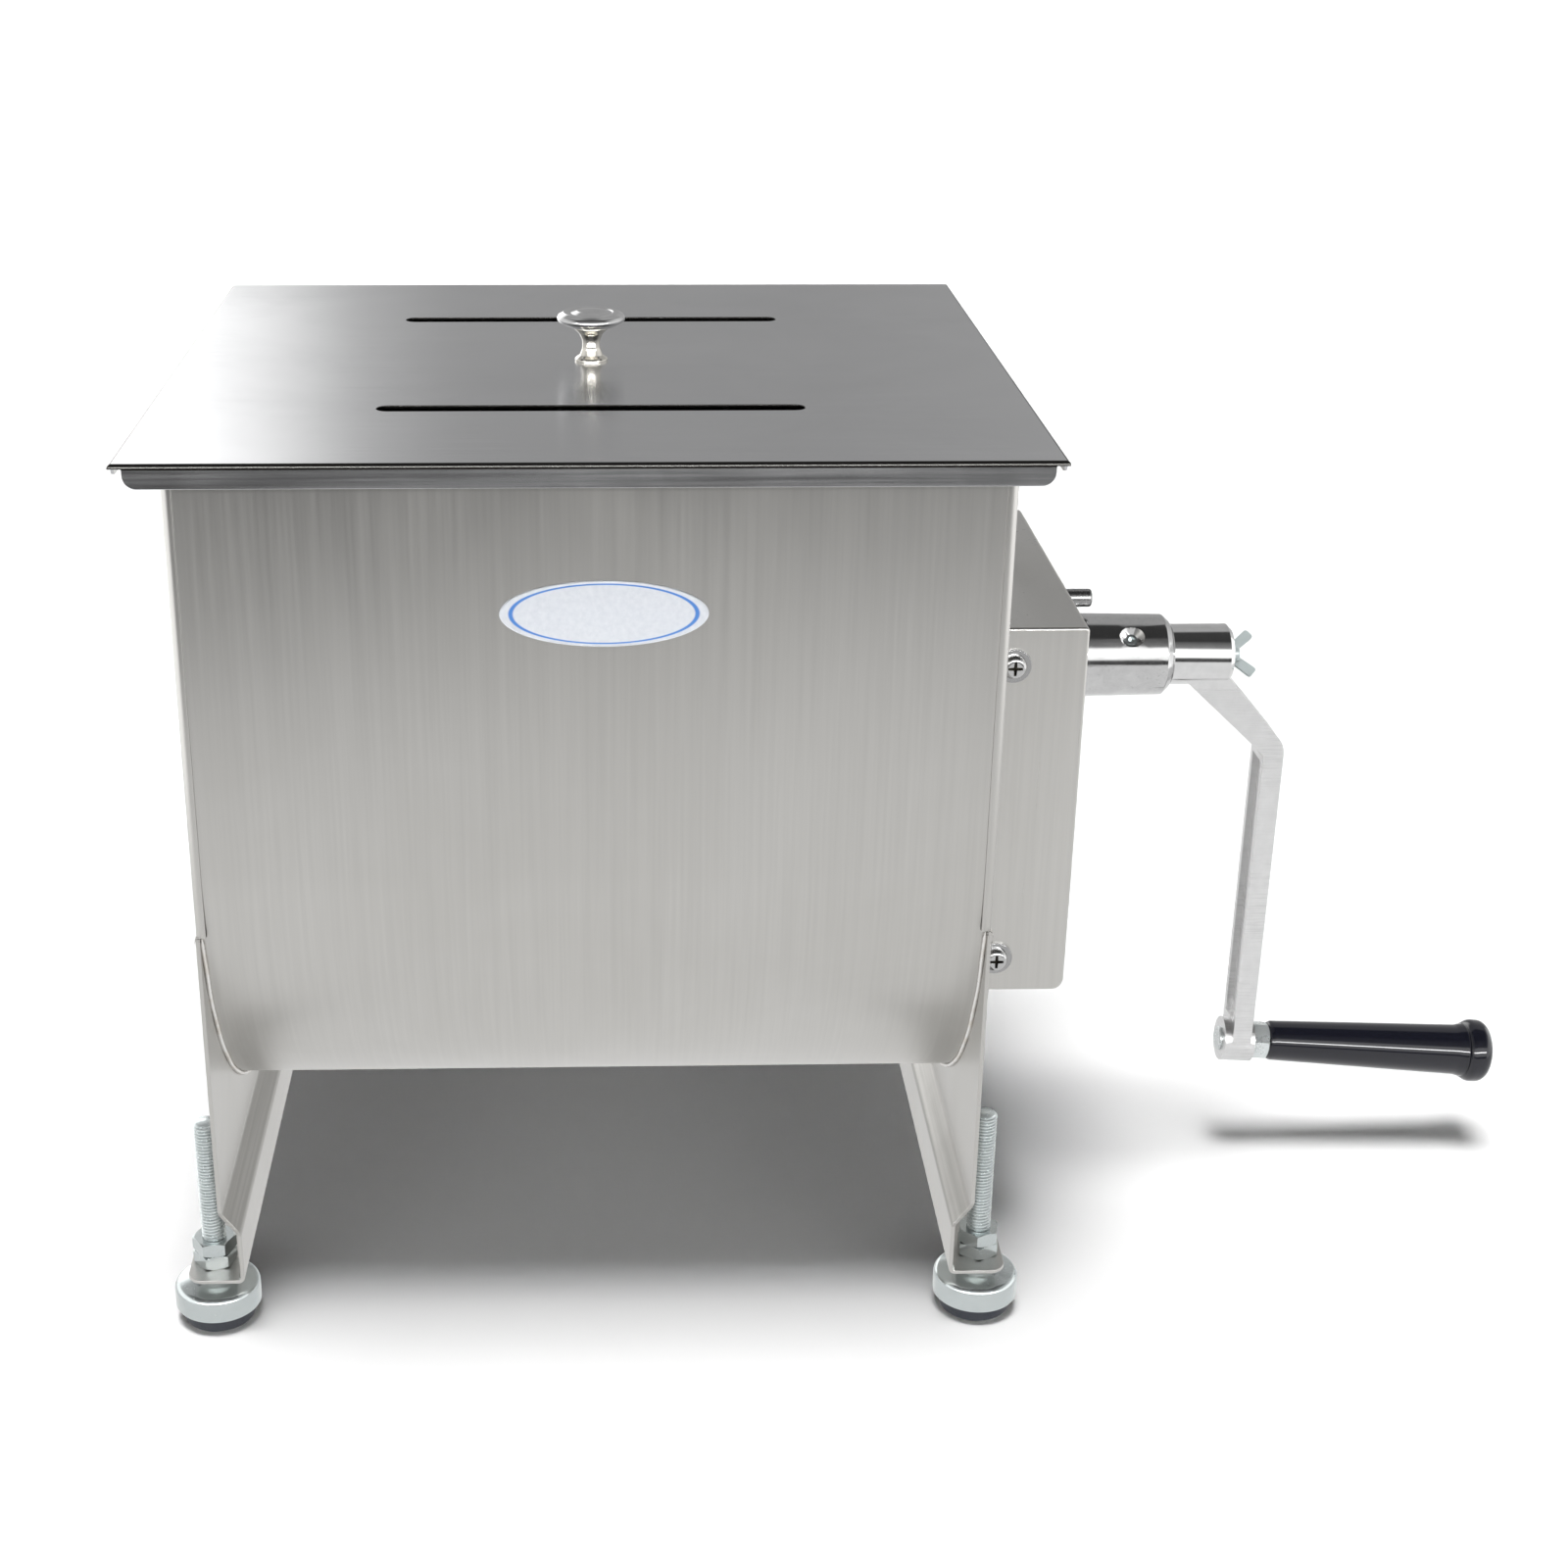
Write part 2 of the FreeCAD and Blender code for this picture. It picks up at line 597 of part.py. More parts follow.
# ---- mixing paddles -----------------------------------------------------------------
def mixing_paddle(station, angle):
    """Hub, round arm and an angled blade, built pointing up and then turned about the shaft."""
    hub = rod_x(16, (station - 13, station + 13), 0, 0)
    arm = Part.makeCylinder(6, BLADE_TIP_R - 30, V(station, 0, 0))
    blade = slab((station - 38, station + 38), (-1.5, 1.5), (BLADE_TIP_R - 55, BLADE_TIP_R))
    corners = [e for e in blade.Edges if e.BoundBox.YLength > 2.9
               and e.BoundBox.XLength < 0.1 and e.BoundBox.ZLength < 0.1]
    blade = blade.makeFillet(10, corners)
    blade.rotate(V(station, 0, 0), Z_AXIS, 35)
    paddle = hub.fuse(arm).fuse(blade).cut(rod_x(SHAFT_R, (station - 20, station + 20), 0, 0))
    paddle = paddle.cut(rod(2.5, V(station + 9, 0, -20), V(station + 9, 0, 0)))
    paddle.rotate(V(0, 0, 0), X_AXIS, angle - 90)
    paddle.translate(V(0, 0, PADDLE_Z))
    return paddle


def paddle_set_screw(station, angle):
    out = V(0, math.cos(math.radians(angle + 180)), math.sin(math.radians(angle + 180)))
    base = V(station + 9, 0, PADDLE_Z)
    screw = rod(2.5, base + out * SHAFT_R, base + out * 15.5)
    return screw.cut(hexagon(2.5, 3, base + out * 13, out))


# ---- crank --------------------------------------------------------------------------
def crank_arm():
    """Cast crank: keyed boss, a slanting neck, a straight grooved arm and a small end boss."""
    boss = turned_x([(BOSS_X[0], CRANK_BORE_R), (BOSS_X[1], CRANK_BORE_R),
                     (BOSS_X[1], BOSS_R - 2.5), (BOSS_X[1] - 2.4, BOSS_R),
                     (BOSS_X[0] + 0.8, BOSS_R), (BOSS_X[0], BOSS_R - 0.8)], CRANK_Z)
    end_z = CRANK_Z - CRANK_RADIUS
    outline = [(310.5, CRANK_Z - 10.5), (ARM_X[0] - 0.5, 244.0, 3), (ARM_X[0], end_z),
               (ARM_X[1], end_z), (ARM_X[1], 249.5, 14), (332.0, CRANK_Z - 7)]
    arm = rounded_face(outline, on_xz).extrude(V(0, 2 * ARM_HALF_Y, 0))
    arm.translate(V(0, -ARM_HALF_Y, 0))
    arm = arm.cut(rod_x(BOSS_R - 1, (300, BOSS_X[1] - 1), 0, CRANK_Z))
    end = along_grip(Part.makeCylinder(END_BOSS_R, 2 * SPINDLE_SEAT, V(0, 0, -SPINDLE_SEAT)))
    groove = slab((ARM_X[0] - 5, ARM_X[0] + 3.2), (-8, 8), (end_z + 15, 239))
    crank = boss.fuse(arm).fuse(end).cut(groove)
    crank = crank.cut(along_grip(Part.makeCylinder(SPINDLE_R, 60, V(0, 0, -30))))
    crank = crank.cut(key_block(CRANK_KEY_X, CRANK_Z, CRANK_BORE_R))
    keyway_end = slab((CRANK_KEY_X[1] - 1, CRANK_KEY_X[1] + 2), (-3, 3), (CRANK_Z, CRANK_Z + 11))
    return crank.cut(keyway_end)


def grip_direction():
    tilt = math.radians(GRIP_TILT)
    return V(math.cos(tilt), 0, -math.sin(tilt))


def along_grip(shape):
    """Places a shape drawn along +Z from the crank end's centre on the grip's axis."""
    return placed(shape, V(SPINDLE_X, 0, CRANK_Z - CRANK_RADIUS), grip_direction())


def grip_spindle():
    """Riveted into the crank's end boss, with a hexagon against it and a snap collar at the tip."""
    pin = turned_z([(0, -10.2), (6.8, -10.2, 0.8), (6.8, -SPINDLE_SEAT), (SPINDLE_R, -SPINDLE_SEAT),
                    (SPINDLE_R, 108), (6.5, 108), (6.5, 112, 0.6), (0, 112)])
    height = GRIP_START - SPINDLE_SEAT - 0.3
    nut = crowned(hexagon(NUT_FLATS, height, V(0, 0, 0), Z_AXIS, 12), NUT_FLATS, height)
    nut.translate(V(0, 0, SPINDLE_SEAT))
    return along_grip(pin.fuse(nut))


def crank_grip():
    """Tapered moulded grip with a round bead at its outer end."""
    s, e = GRIP_START, GRIP_START + GRIP_LENGTH
    bore = SPINDLE_R + 0.06
    body = turned_z([(bore, s), (10.4, s), (11.2, s + 2, 1.5), (14.4, e - 18, 3),
                     (15.2, e - 15.5), (17.6, e - 14, 2), (17.6, e - 3, 3.5), (13, e, 4), (0, e),
                     (0, 114), (6.9, 114), (6.9, 106), (bore, 106)])
    return along_grip(body)


def wing_screw():
    """Screw with two wings in the drive shaft's end."""
    x = BOSS_X[1]
    hub = turned_x([(x - 18, 0), (x - 18, WING_SCREW_R), (x + 0.2, WING_SCREW_R), (x + 0.2, 5.2),
                    (x + 5.2, 4.2, 1), (x + 5.2, 0)], CRANK_Z)
    outline = [(0.6, 2.5), (0.6, 5, 1), (10.0, 13.5, 1.6), (13.8, 9.3, 1.6), (5.4, 2.5)]
    wing = rounded_face(outline, on_xz).extrude(V(0, 2, 0))
    wing.translate(V(x, -1, 0))
    other = wing.copy()
    other.rotate(V(0, 0, 0), X_AXIS, 180)
    wings = wing.fuse(other)
    wings.rotate(V(0, 0, 0), X_AXIS, WING_TURN)
    wings.translate(V(0, 0, CRANK_Z))
    return hub.fuse(wings)


# ---- feet ---------------------------------------------------------------------------
def crowned(prism, flats, height):
    """A hexagonal prism on the origin with both ends' corners turned off."""
    reach = flats / 2 + 1.6
    crown = turned_z([(0, 0), (flats / 2 + 0.1, 0), (reach, 0.9), (reach, height - 0.9),
                      (flats / 2 + 0.1, height), (0, height)])
    return prism.common(crown)


def hex_nut(x, y, z, turn):
    nut = crowned(hexagon(NUT_FLATS, NUT_HEIGHT, V(0, 0, 0), Z_AXIS, turn), NUT_FLATS, NUT_HEIGHT)
    nut = nut.cut(Part.makeCylinder(STUD_R + THREAD_GAP, NUT_HEIGHT + 2, V(0, 0, -1)))
    nut.translate(V(x, y, z))
    return nut


def foot_nuts(level, turn):
    z = FOOT_SHELF_Z + PLATE_T + level * (NUT_HEIGHT + 0.1)
    return [hex_nut(sx * FOOT_X, sy * FOOT_Y, z, turn + 7 * sx) for _, sx, sy in CORNERS]


def foot_stud(x, y):
    return turned_z([(0, 20), (STUD_R, 20), (STUD_R, STUD_TOP_Z - 1), (STUD_R - 1, STUD_TOP_Z),
                     (0, STUD_TOP_Z)], x, y)


def foot_cup(x, y):
    """Pressed steel cup with a domed top, open below for the pad."""
    return turned_z([(STUD_R, 27.2), (STUD_R, 20), (6.5, 17), (19.4, 17), (19.4, 8.5), (21.4, 8.5),
                     (21.4, 20.6, 4), (12.5, 23.8, 6), (9, 27.2, 1)], x, y)


def foot_pad(x, y):
    return turned_z([(0, 0), (17.6, 0, 2), (18.4, 8.5), (19.4, 8.5), (19.4, 17), (0, 17)], x, y)


# ---- write every node ---------------------------------------------------------------
def main():
    boxes = [
        write("tank_shell", tank_shell()),
        write("end_plate_right", end_plate()),
        write("end_plate_left", mirrored_x(end_plate())),
        write("badge_plate", badge_plate()),
        write("lid_panel", lid_panel()),
        write("lid_knob", lid_knob()),
        write("knob_washer", knob_washer()),
        write("knob_screw", knob_screw()),
        write("gearbox_cover", gearbox_cover()),
        write("cover_brackets", cover_bracket(), mirrored_y(cover_bracket())),
        write("gearbox_screws", *gearbox_screws()),
        write("gearbox_washers", *gearbox_washers()),
        write("hub_collar", hub_collar()),
        write("collar_set_screw", collar_set_screw()),
        write("collar_bushes", plain_bush((234, 256), SHAFT_R + THREAD_GAP, BUSH_R, CRANK_Z),
              plain_bush((281, 301), SHAFT_R + THREAD_GAP, BUSH_R, CRANK_Z)),
        write("locating_pin", locating_pin()),
        write("bearing_housing_right", bearing_housing(12, False)),
        write("bearing_housing_left", mirrored_x(bearing_housing(14, True))),
        write("bearing_screws", *bearing_screws()),
        write("shaft_bushes", plain_bush((193, 199), SHAFT_R + THREAD_GAP, BUSH_R, PADDLE_Z),
              plain_bush((-198, -193), SHAFT_R + THREAD_GAP, BUSH_R, PADDLE_Z)),
        write("shaft_seals", shaft_seal(), mirrored_x(shaft_seal())),
        write("foot_weld_nuts", *foot_nuts(0, 20)),
        write("foot_lock_nuts", *foot_nuts(1, 13)),
        write("drive_shaft", drive_shaft()),
        write("drive_pinion", drive_pinion()),
        write("pinion_pin", pinion_pin()),
        write("crank_key", key_block(CRANK_KEY_X, CRANK_Z, CRANK_BORE_R)),
        write("crank_arm", crank_arm()),
        write("grip_spindle", grip_spindle()),
        write("crank_grip", crank_grip()),
        write("wing_screw", wing_screw()),
        write("paddle_shaft", paddle_shaft()),
        write("driven_gear", driven_gear()),
        write("gear_key", key_block(GEAR_KEY_X, PADDLE_Z, SHAFT_R)),
        write("gear_washer", gear_washer()),
        write("gear_screw", gear_screw()),
        write("paddle_set_screws", *[paddle_set_screw(s, a)
                                     for s, a in zip(PADDLE_STATIONS, PADDLE_ANGLES)]),
    ]
    for number, (station, angle) in enumerate(zip(PADDLE_STATIONS, PADDLE_ANGLES), 1):
        boxes.append(write(f"mixing_paddle_{number}", mixing_paddle(station, angle)))
    for name, side_x, side_y in CORNERS:
        x, y = side_x * FOOT_X, side_y * FOOT_Y
        boxes.append(write(f"foot_stud_{name}", foot_stud(x, y)))
        boxes.append(write(f"foot_cup_{name}", foot_cup(x, y)))
        boxes.append(write(f"foot_pad_{name}", foot_pad(x, y)))
    low = [min(getattr(b, k) for b in boxes) for k in ("XMin", "YMin", "ZMin")]
    high = [max(getattr(b, k) for b in boxes) for k in ("XMax", "YMax", "ZMax")]
    print("whole box", [round(v, 2) for v in low], [round(v, 2) for v in high])


main()
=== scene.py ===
"""Looks of the hand-crank meat mixer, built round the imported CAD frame.

Everything is in metres, +Z up, in the frame's own coordinates.  CAD nodes keep their
shape and get softened edges and a material; the pieces made here replace the nodes that
need finer detail than the CAD has, such as threads, or add welds that ride on them.
"""

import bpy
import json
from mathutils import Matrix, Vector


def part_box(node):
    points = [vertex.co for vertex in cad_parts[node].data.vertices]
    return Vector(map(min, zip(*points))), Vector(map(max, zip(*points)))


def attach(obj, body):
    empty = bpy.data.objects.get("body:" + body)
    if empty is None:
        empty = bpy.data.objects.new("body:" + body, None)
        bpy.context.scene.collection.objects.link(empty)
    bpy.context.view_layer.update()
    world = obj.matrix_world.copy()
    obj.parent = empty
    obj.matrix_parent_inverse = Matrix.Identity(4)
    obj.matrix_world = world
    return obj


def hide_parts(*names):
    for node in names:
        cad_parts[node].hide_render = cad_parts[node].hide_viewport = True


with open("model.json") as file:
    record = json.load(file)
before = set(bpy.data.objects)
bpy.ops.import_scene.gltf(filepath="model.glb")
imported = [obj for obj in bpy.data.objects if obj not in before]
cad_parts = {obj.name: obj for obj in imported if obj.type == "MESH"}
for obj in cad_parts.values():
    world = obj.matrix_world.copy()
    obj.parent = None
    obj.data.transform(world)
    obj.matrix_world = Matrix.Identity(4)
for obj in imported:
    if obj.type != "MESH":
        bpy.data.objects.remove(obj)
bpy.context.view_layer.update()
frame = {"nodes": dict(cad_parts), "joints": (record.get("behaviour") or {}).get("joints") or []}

import json
import math

import bmesh
import bpy
from mathutils import Matrix, Vector

nodes = frame["nodes"]
joints = {joint["name"]: joint for joint in frame["joints"]}

X_AXIS = Vector((1, 0, 0))
Z_AXIS = Vector((0, 0, 1))

# ---- places that the pieces share, read from the frame --------------------------------
SHELL_LOW, SHELL_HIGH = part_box("tank_shell")
TANK_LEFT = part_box("end_plate_left")[0].x
TANK_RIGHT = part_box("end_plate_right")[1].x
TANK_X = (TANK_LEFT + TANK_RIGHT) / 2                          # middle of the tank's length
TANK_RADIUS = SHELL_HIGH.y                                     # of the U bottom
PADDLE_Z = SHELL_LOW.z + TANK_RADIUS                           # its centre, the paddle shaft
CRANK_Z = joints["crank_spin"]["pos_m"][2]
LID_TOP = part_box("lid_panel")[1].z
FEET = ("fl", "fr", "rl", "rr")
PADDLES = (45.0, 135.0, 225.0, 315.0)                          # degrees, paddle 1 to 4
SHEET_NODES = ("tank_shell", "end_plate_right", "end_plate_left", "lid_panel", "gearbox_cover")

# ---- how meshes are cleaned, rounded and shaded ----------------------------------------
SAME_POINT = 2e-6                     # metres apart at which points are merged
FLAT_ANGLE = math.radians(0.6)        # faces that differ by less become one flat face
EDGE_ANGLE = math.radians(32)         # a CAD edge sharper than this is rounded
FLAT_WEIGHT = 80                      # how far large faces set the shading beside a bevel
SHARP = math.radians(34)              # an edge of a made piece sharper than this stays crisp
WELD_SHARP = math.radians(60)
THREAD_SHARP = math.radians(50)


# ---- mesh helpers ----------------------------------------------------------------------
def rounded(corners, steps=6):
    """Points of an open outline of (u, v) or (u, v, corner radius) corners."""
    points = []
    count = len(corners)
    for i, corner in enumerate(corners):
        here = Vector(corner[:2])
        radius = corner[2] if len(corner) > 2 else 0.0
        if radius <= 0 or i in (0, count - 1):
            points.append(here)
            continue
        before = (Vector(corners[i - 1][:2]) - here).normalized()
        after = (Vector(corners[i + 1][:2]) - here).normalized()
        half = before.angle(after) / 2
        centre = here + (before + after).normalized() * (radius / math.sin(half))
        first = here + before * (radius / math.tan(half)) - centre
        sweep = math.pi - 2 * half
        side = 1 if before.x * after.y - before.y * after.x < 0 else -1
        for k in range(steps + 1):
            points.append(centre + Matrix.Rotation(side * sweep * k / steps, 2) @ first)
    return points


def aimed(origin, direction):
    """Matrix that puts a local +Z along direction, with its origin moved."""
    rotation = Z_AXIS.rotation_difference(direction.normalized()).to_matrix().to_4x4()
    return Matrix.Translation(origin) @ rotation


def turns(count):
    """Evenly spaced angles of one full turn."""
    return [2 * math.pi * i / count for i in range(count)]


def skin(bm, rings, closed=False):
    """Faces between rings of vertices; a ring of one vertex is a pole."""
    pairs = list(zip(rings, rings[1:]))
    if closed:
        pairs.append((rings[-1], rings[0]))
    for lower, upper in pairs:
        count = max(len(lower), len(upper))
        for i in range(count if count > 1 else 0):
            j = (i + 1) % count
            if len(lower) == 1:
                bm.faces.new((lower[0], upper[j], upper[i]))
            elif len(upper) == 1:
                bm.faces.new((lower[i], lower[j], upper[0]))
            else:
                bm.faces.new((lower[i], lower[j], upper[j], upper[i]))


def lathe(bm, profile, place, segments=96):
    """Turns (radius, height) points about the local Z axis of place."""
    rings = []
    for radius, height in profile:
        if radius < 1e-7:
            rings.append([bm.verts.new(place @ Vector((0, 0, height)))])
            continue
        rings.append([bm.verts.new(place @ Vector((radius * math.cos(a), radius * math.sin(a), height)))
                      for a in turns(segments)])
    skin(bm, rings)


def tube(bm, path, section):
    """Sweeps a closed section along path: each path item is (origin, side axis, up axis, scale)."""
    rings = []
    for origin, side, up, scale in path:
        rings.append([bm.verts.new(origin + (side * u + up * v) * scale) for u, v in section])
    skin(bm, rings)
    bm.faces.new(rings[0][::-1])
    bm.faces.new(rings[-1])


def add_mesh(name, bm, material):
    """Puts the mesh into the scene as an object of one material."""
    mesh = bpy.data.meshes.new(name)
    bm.to_mesh(mesh)
    bm.free()
    mesh.materials.append(material)
    obj = bpy.data.objects.new(name, mesh)
    bpy.context.scene.collection.objects.link(obj)
    return obj


def piece(name, bm, body, material, replaced=(), sharp=SHARP):
    """Makes the mesh a named piece that rides on a body."""
    bmesh.ops.recalc_face_normals(bm, faces=bm.faces)
    obj = add_mesh(name, bm, material)
    obj.data.polygons.foreach_set("use_smooth", [True] * len(obj.data.polygons))
    obj.data.set_sharp_from_angle(angle=sharp)
    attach(obj, body)
    if replaced:
        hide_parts(*replaced)
    return obj


def soften(name, width, segments):
    """Rounds a CAD node's sharp edges by a small width."""
    obj = nodes[name]
    weld = obj.modifiers.new("weld", "WELD")
    weld.merge_threshold = SAME_POINT
    flat = obj.modifiers.new("flat", "DECIMATE")
    flat.decimate_type = "DISSOLVE"
    flat.angle_limit = FLAT_ANGLE
    edge = obj.modifiers.new("edge", "BEVEL")
    edge.width = width
    edge.segments = segments
    edge.limit_method = "ANGLE"
    edge.angle_limit = EDGE_ANGLE
    edge.use_clamp_overlap = name not in SHEET_NODES
    normals = obj.modifiers.new("normals", "WEIGHTED_NORMAL")
    normals.weight = FLAT_WEIGHT


# ---- materials -------------------------------------------------------------------------
class Tree:
    """A node tree with short calls to add and link nodes."""

    def __init__(self, tree):
        self.tree = tree

    def add(self, kind, inputs=None, **settings):
        made = self.tree.nodes.new("ShaderNode" + kind)
        for key, value in settings.items():
            setattr(made, key, value)
        for key, value in (inputs or {}).items():
            self.set(made, key, value)
        return made

    def set(self, made, key, value):
        if isinstance(value, bpy.types.NodeSocket):
            self.tree.links.new(value, made.inputs[key])
        else:
            made.inputs[key].default_value = value

    def range(self, value, low, high, start=0.3, end=0.7):
        """Value from start..end spread over low..high."""
        return self.add("MapRange", {"Value": value, "From Min": start, "From Max": end,
                                     "To Min": low, "To Max": high}).outputs[0]

    def math(self, operation, *values):
        return self.add("Math", dict(enumerate(values)), operation=operation).outputs[0]

    def blend(self, factor, first, second):
        mix = self.add("Mix", {0: factor, 6: (*first, 1.0) if isinstance(first, tuple) else first,
                               7: (*second, 1.0) if isinstance(second, tuple) else second},
                       data_type="RGBA")
        return mix.outputs[2]

    def dull_rays(self):
        """1 for a ray that has already met a dull surface, else 0."""
        return self.math("MINIMUM", self.add("LightPath").outputs["Diffuse Depth"], 1.0)


class Graph(Tree):
    """A material and its node tree."""

    def __init__(self, name):
        self.material = bpy.data.materials.new(name)
        self.material.use_nodes = True
        super().__init__(self.material.node_tree)
        self.shader = self.tree.nodes["Principled BSDF"]

    def place(self):
        """The object's own coordinates, in metres."""
        return self.add("TexCoord").outputs["Object"]

    def noise(self, scale, detail=4.0, rough=0.55, distortion=0.0):
        """Noise over the object's own coordinates, stretched by a (x, y, z) scale."""
        spread = self.add("Mapping", {"Vector": self.place(), "Scale": scale})
        texture = self.add("TexNoise", {"Vector": spread.outputs[0], "Scale": 1.0, "Detail": detail,
                                        "Roughness": rough, "Distortion": distortion})
        return texture.outputs[0]

    def bump(self, height, strength, distance, below=None):
        inputs = {"Height": height, "Strength": strength, "Distance": distance}
        if below is not None:
            inputs["Normal"] = below
        return self.add("Bump", inputs).outputs[0]

    def finish(self, **inputs):
        """Sets the shader's sockets, by name with _ for a space, and gives the material."""
        for key, value in inputs.items():
            if isinstance(value, tuple):
                value = (*value, 1.0)
            self.set(self.shader, key.replace("_", " "), value)
        return self.material


def grey(value, warmth=0.0):
    """A near neutral colour, yellower for a positive warmth."""
    return (value * (1 + 0.4 * warmth), value, value * (1 - warmth))


def height_mask(g, low, high):
    """1 above high and 0 below low, by the object's own Z in metres."""
    z = g.add("SeparateXYZ", {0: g.place()}).outputs[2]
    return g.range(z, 0.0, 1.0, low, high)


def shaded_fold(g, colour, base, low, high, soft, shade_factor, streaky):
    """Colour with a band of painted shade, darker, between the low and high height of a fold; the
    band's edges have a soft width, and a streaky band is broken up along the fold."""
    # painted shade: a darker band over the fold's heights
    fold_shade = g.math("SUBTRACT", height_mask(g, low - soft, low), height_mask(g, high, high + soft))
    if streaky:
        fold_shade = g.math("MULTIPLY", fold_shade, g.range(g.noise((5, 5, 600), 3.0, 0.5), 0.35, 0.75))
    return g.blend(fold_shade, colour, grey(base * shade_factor, 0.05))


def sheet_steel(name, grain, base=0.54, warmth=0.035, rough=(0.29, 0.38), axis="Z", anisotropy=0.55,
                depth=0.000012, fold=None):
    """Brushed stainless sheet: fine streaks along the grain, with faint wear and smears, and a
    band of painted shade along a fold if one is given."""
    g = Graph(name)
    fine = g.noise(grain, 5.0, 0.62)
    broad = g.noise([s * 0.4 for s in grain], 3.0)
    smear = g.noise((9, 9, 7), 4.0, 0.6, 0.6)
    mixed = g.math("ADD", g.math("MULTIPLY", fine, 0.88), g.math("MULTIPLY", broad, 0.12))
    colour = g.blend(g.range(mixed, 0.0, 1.0), grey(base * 0.95, warmth), grey(base * 1.05, warmth))
    cloud = g.range(smear, 0.0, 1.0, 0.35, 0.68)
    colour = g.blend(g.math("MULTIPLY", cloud, 0.18), colour, grey(base * 0.78, warmth * 2))
    if fold:
        # painted shade along the fold, darker than the sheet
        colour = shaded_fold(g, colour, base, **fold)
    roughness = g.math("ADD", g.range(mixed, *rough), g.math("MULTIPLY", cloud, 0.05))
    tangent = g.add("Tangent", direction_type="RADIAL", axis=axis).outputs[0]
    normal = g.bump(fine, 0.25, depth)
    return g.finish(Base_Color=colour, Metallic=1.0, Roughness=roughness, Anisotropic=anisotropy,
                    Tangent=tangent, Normal=normal)


def recess_shade_mask(g, node, head_r):
    """1 in the cross recesses of a node's screws, where painted shade darkens them; the screws sit one
    above the other on the front and on the rear; head_r is the radius of their heads."""
    low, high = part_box(node)
    middle = (low + high) / 2
    half_span = (high.z - low.z) / 2 - head_r             # from the middle height to a head's centre
    recess_r = 0.64 * head_r
    blur = 0.02 * head_r
    face, floor = high.y - 0.0005, high.y - 0.0009        # where a recess starts, and where its painted shade is fully dark
    x, y, z = g.add("SeparateXYZ", {0: g.place()}).outputs
    up = g.math("SUBTRACT", g.math("ABSOLUTE", g.math("SUBTRACT", z, middle.z)), half_span)
    across = g.math("SUBTRACT", x, middle.x)
    reach = g.math("SQRT", g.math("ADD", g.math("POWER", up, 2.0), g.math("POWER", across, 2.0)))
    near = g.range(reach, 1.0, 0.0, recess_r - blur, recess_r + blur)
    deep = g.range(g.math("ABSOLUTE", y), 1.0, 0.0, floor, face)
    return g.math("MULTIPLY", near, deep)


def turned_metal(name, base, warmth=0.0, rough=(0.08, 0.16), lines=(2600, 40, 40), depth=0.000004,
                 speck=0.1, anisotropy=0.0, green=0.0, contrast=1.0, metallic=1.0, shaded_recess=None):
    """Plated or turned metal: fine tool lines, light scuffs and small pits; painted shade makes it nearly
    black in a recess, which is a node of screws and the radius of their heads."""
    g = Graph(name)
    tool = g.noise(lines, 3.0, 0.5)
    scuff = g.noise((90, 90, 90), 5.0, 0.65, 0.4)
    pits = g.noise((700, 700, 700), 2.0, 0.5)
    light = grey(base * (1 + 0.04 * contrast), warmth)
    dark = grey(base * (1 - 0.1 * contrast), warmth)
    light, dark = [(red * (1 - green), middle, blue) for red, middle, blue in (light, dark)]
    colour = g.blend(g.range(scuff, 0.0, 1.0), dark, light)
    pit = g.range(pits, 0.0, 1.0, 0.62, 0.74)
    colour = g.blend(g.math("MULTIPLY", pit, speck), colour, grey(base * 0.35, warmth))
    if shaded_recess:
        # painted shade: the screws' cross recesses are made nearly black
        colour = g.blend(recess_shade_mask(g, *shaded_recess), colour, grey(0.02, 0.2))
    roughness = g.math("ADD", g.range(g.math("ADD", g.math("MULTIPLY", tool, 0.5),
                                             g.math("MULTIPLY", scuff, 0.5)), *rough),
                       g.math("MULTIPLY", pit, 0.1))
    normal = g.bump(pits, 0.25, depth, g.bump(tool, 0.4, depth))
    return g.finish(Base_Color=colour, Metallic=metallic, Roughness=roughness, Anisotropic=anisotropy,
                    Normal=normal)


def cast_metal(name, base, boss_z):
    """Satin plated casting, filed across its edges, with a turned and polished boss at the top."""
    g = Graph(name)
    boss = height_mask(g, boss_z, boss_z + 0.002)
    peel = g.noise((200, 200, 200), 3.0, 0.5)
    marks = g.noise((55, 55, 1300), 3.0, 0.55, 0.15)
    patches = g.noise((35, 35, 22), 3.0)
    filed = g.math("MULTIPLY", g.range(marks, 0.0, 1.0, 0.48, 0.6), g.range(patches, 0.15, 1.0, 0.4, 0.6))
    filed = g.math("MULTIPLY", filed, g.math("SUBTRACT", 1.0, boss))
    colour = g.blend(g.range(peel, 0.0, 1.0), grey(base * 0.97), grey(base * 1.03))
    colour = g.blend(g.math("MULTIPLY", filed, 0.4), colour, grey(base * 0.66))
    satin = g.math("ADD", g.range(peel, 0.3, 0.36), g.math("MULTIPLY", filed, 0.12))
    polished = g.range(g.noise((2400, 60, 60), 3.0, 0.5), 0.08, 0.15)
    roughness = g.add("Mix", {0: boss, 2: satin, 3: polished}, data_type="FLOAT").outputs[0]
    normal = g.bump(peel, g.range(boss, 0.25, 0.02, 0.0, 1.0), 0.00003, g.bump(filed, 0.45, 0.00006))
    return g.finish(Base_Color=colour, Metallic=1.0, Roughness=roughness, Normal=normal)


def rubber(name, value):
    """Matt moulded rubber, a little dusty."""
    g = Graph(name)
    grain = g.noise((1100, 1100, 1100), 3.0)
    dust = g.noise((55, 55, 55), 5.0, 0.65)
    colour = g.blend(g.range(dust, 0.0, 1.0, 0.4, 0.75), grey(value, -0.5), grey(value * 2.0, -0.2))
    return g.finish(Base_Color=colour, Roughness=g.range(grain, 0.5, 0.72),
                    Normal=g.bump(grain, 0.5, 0.00003))


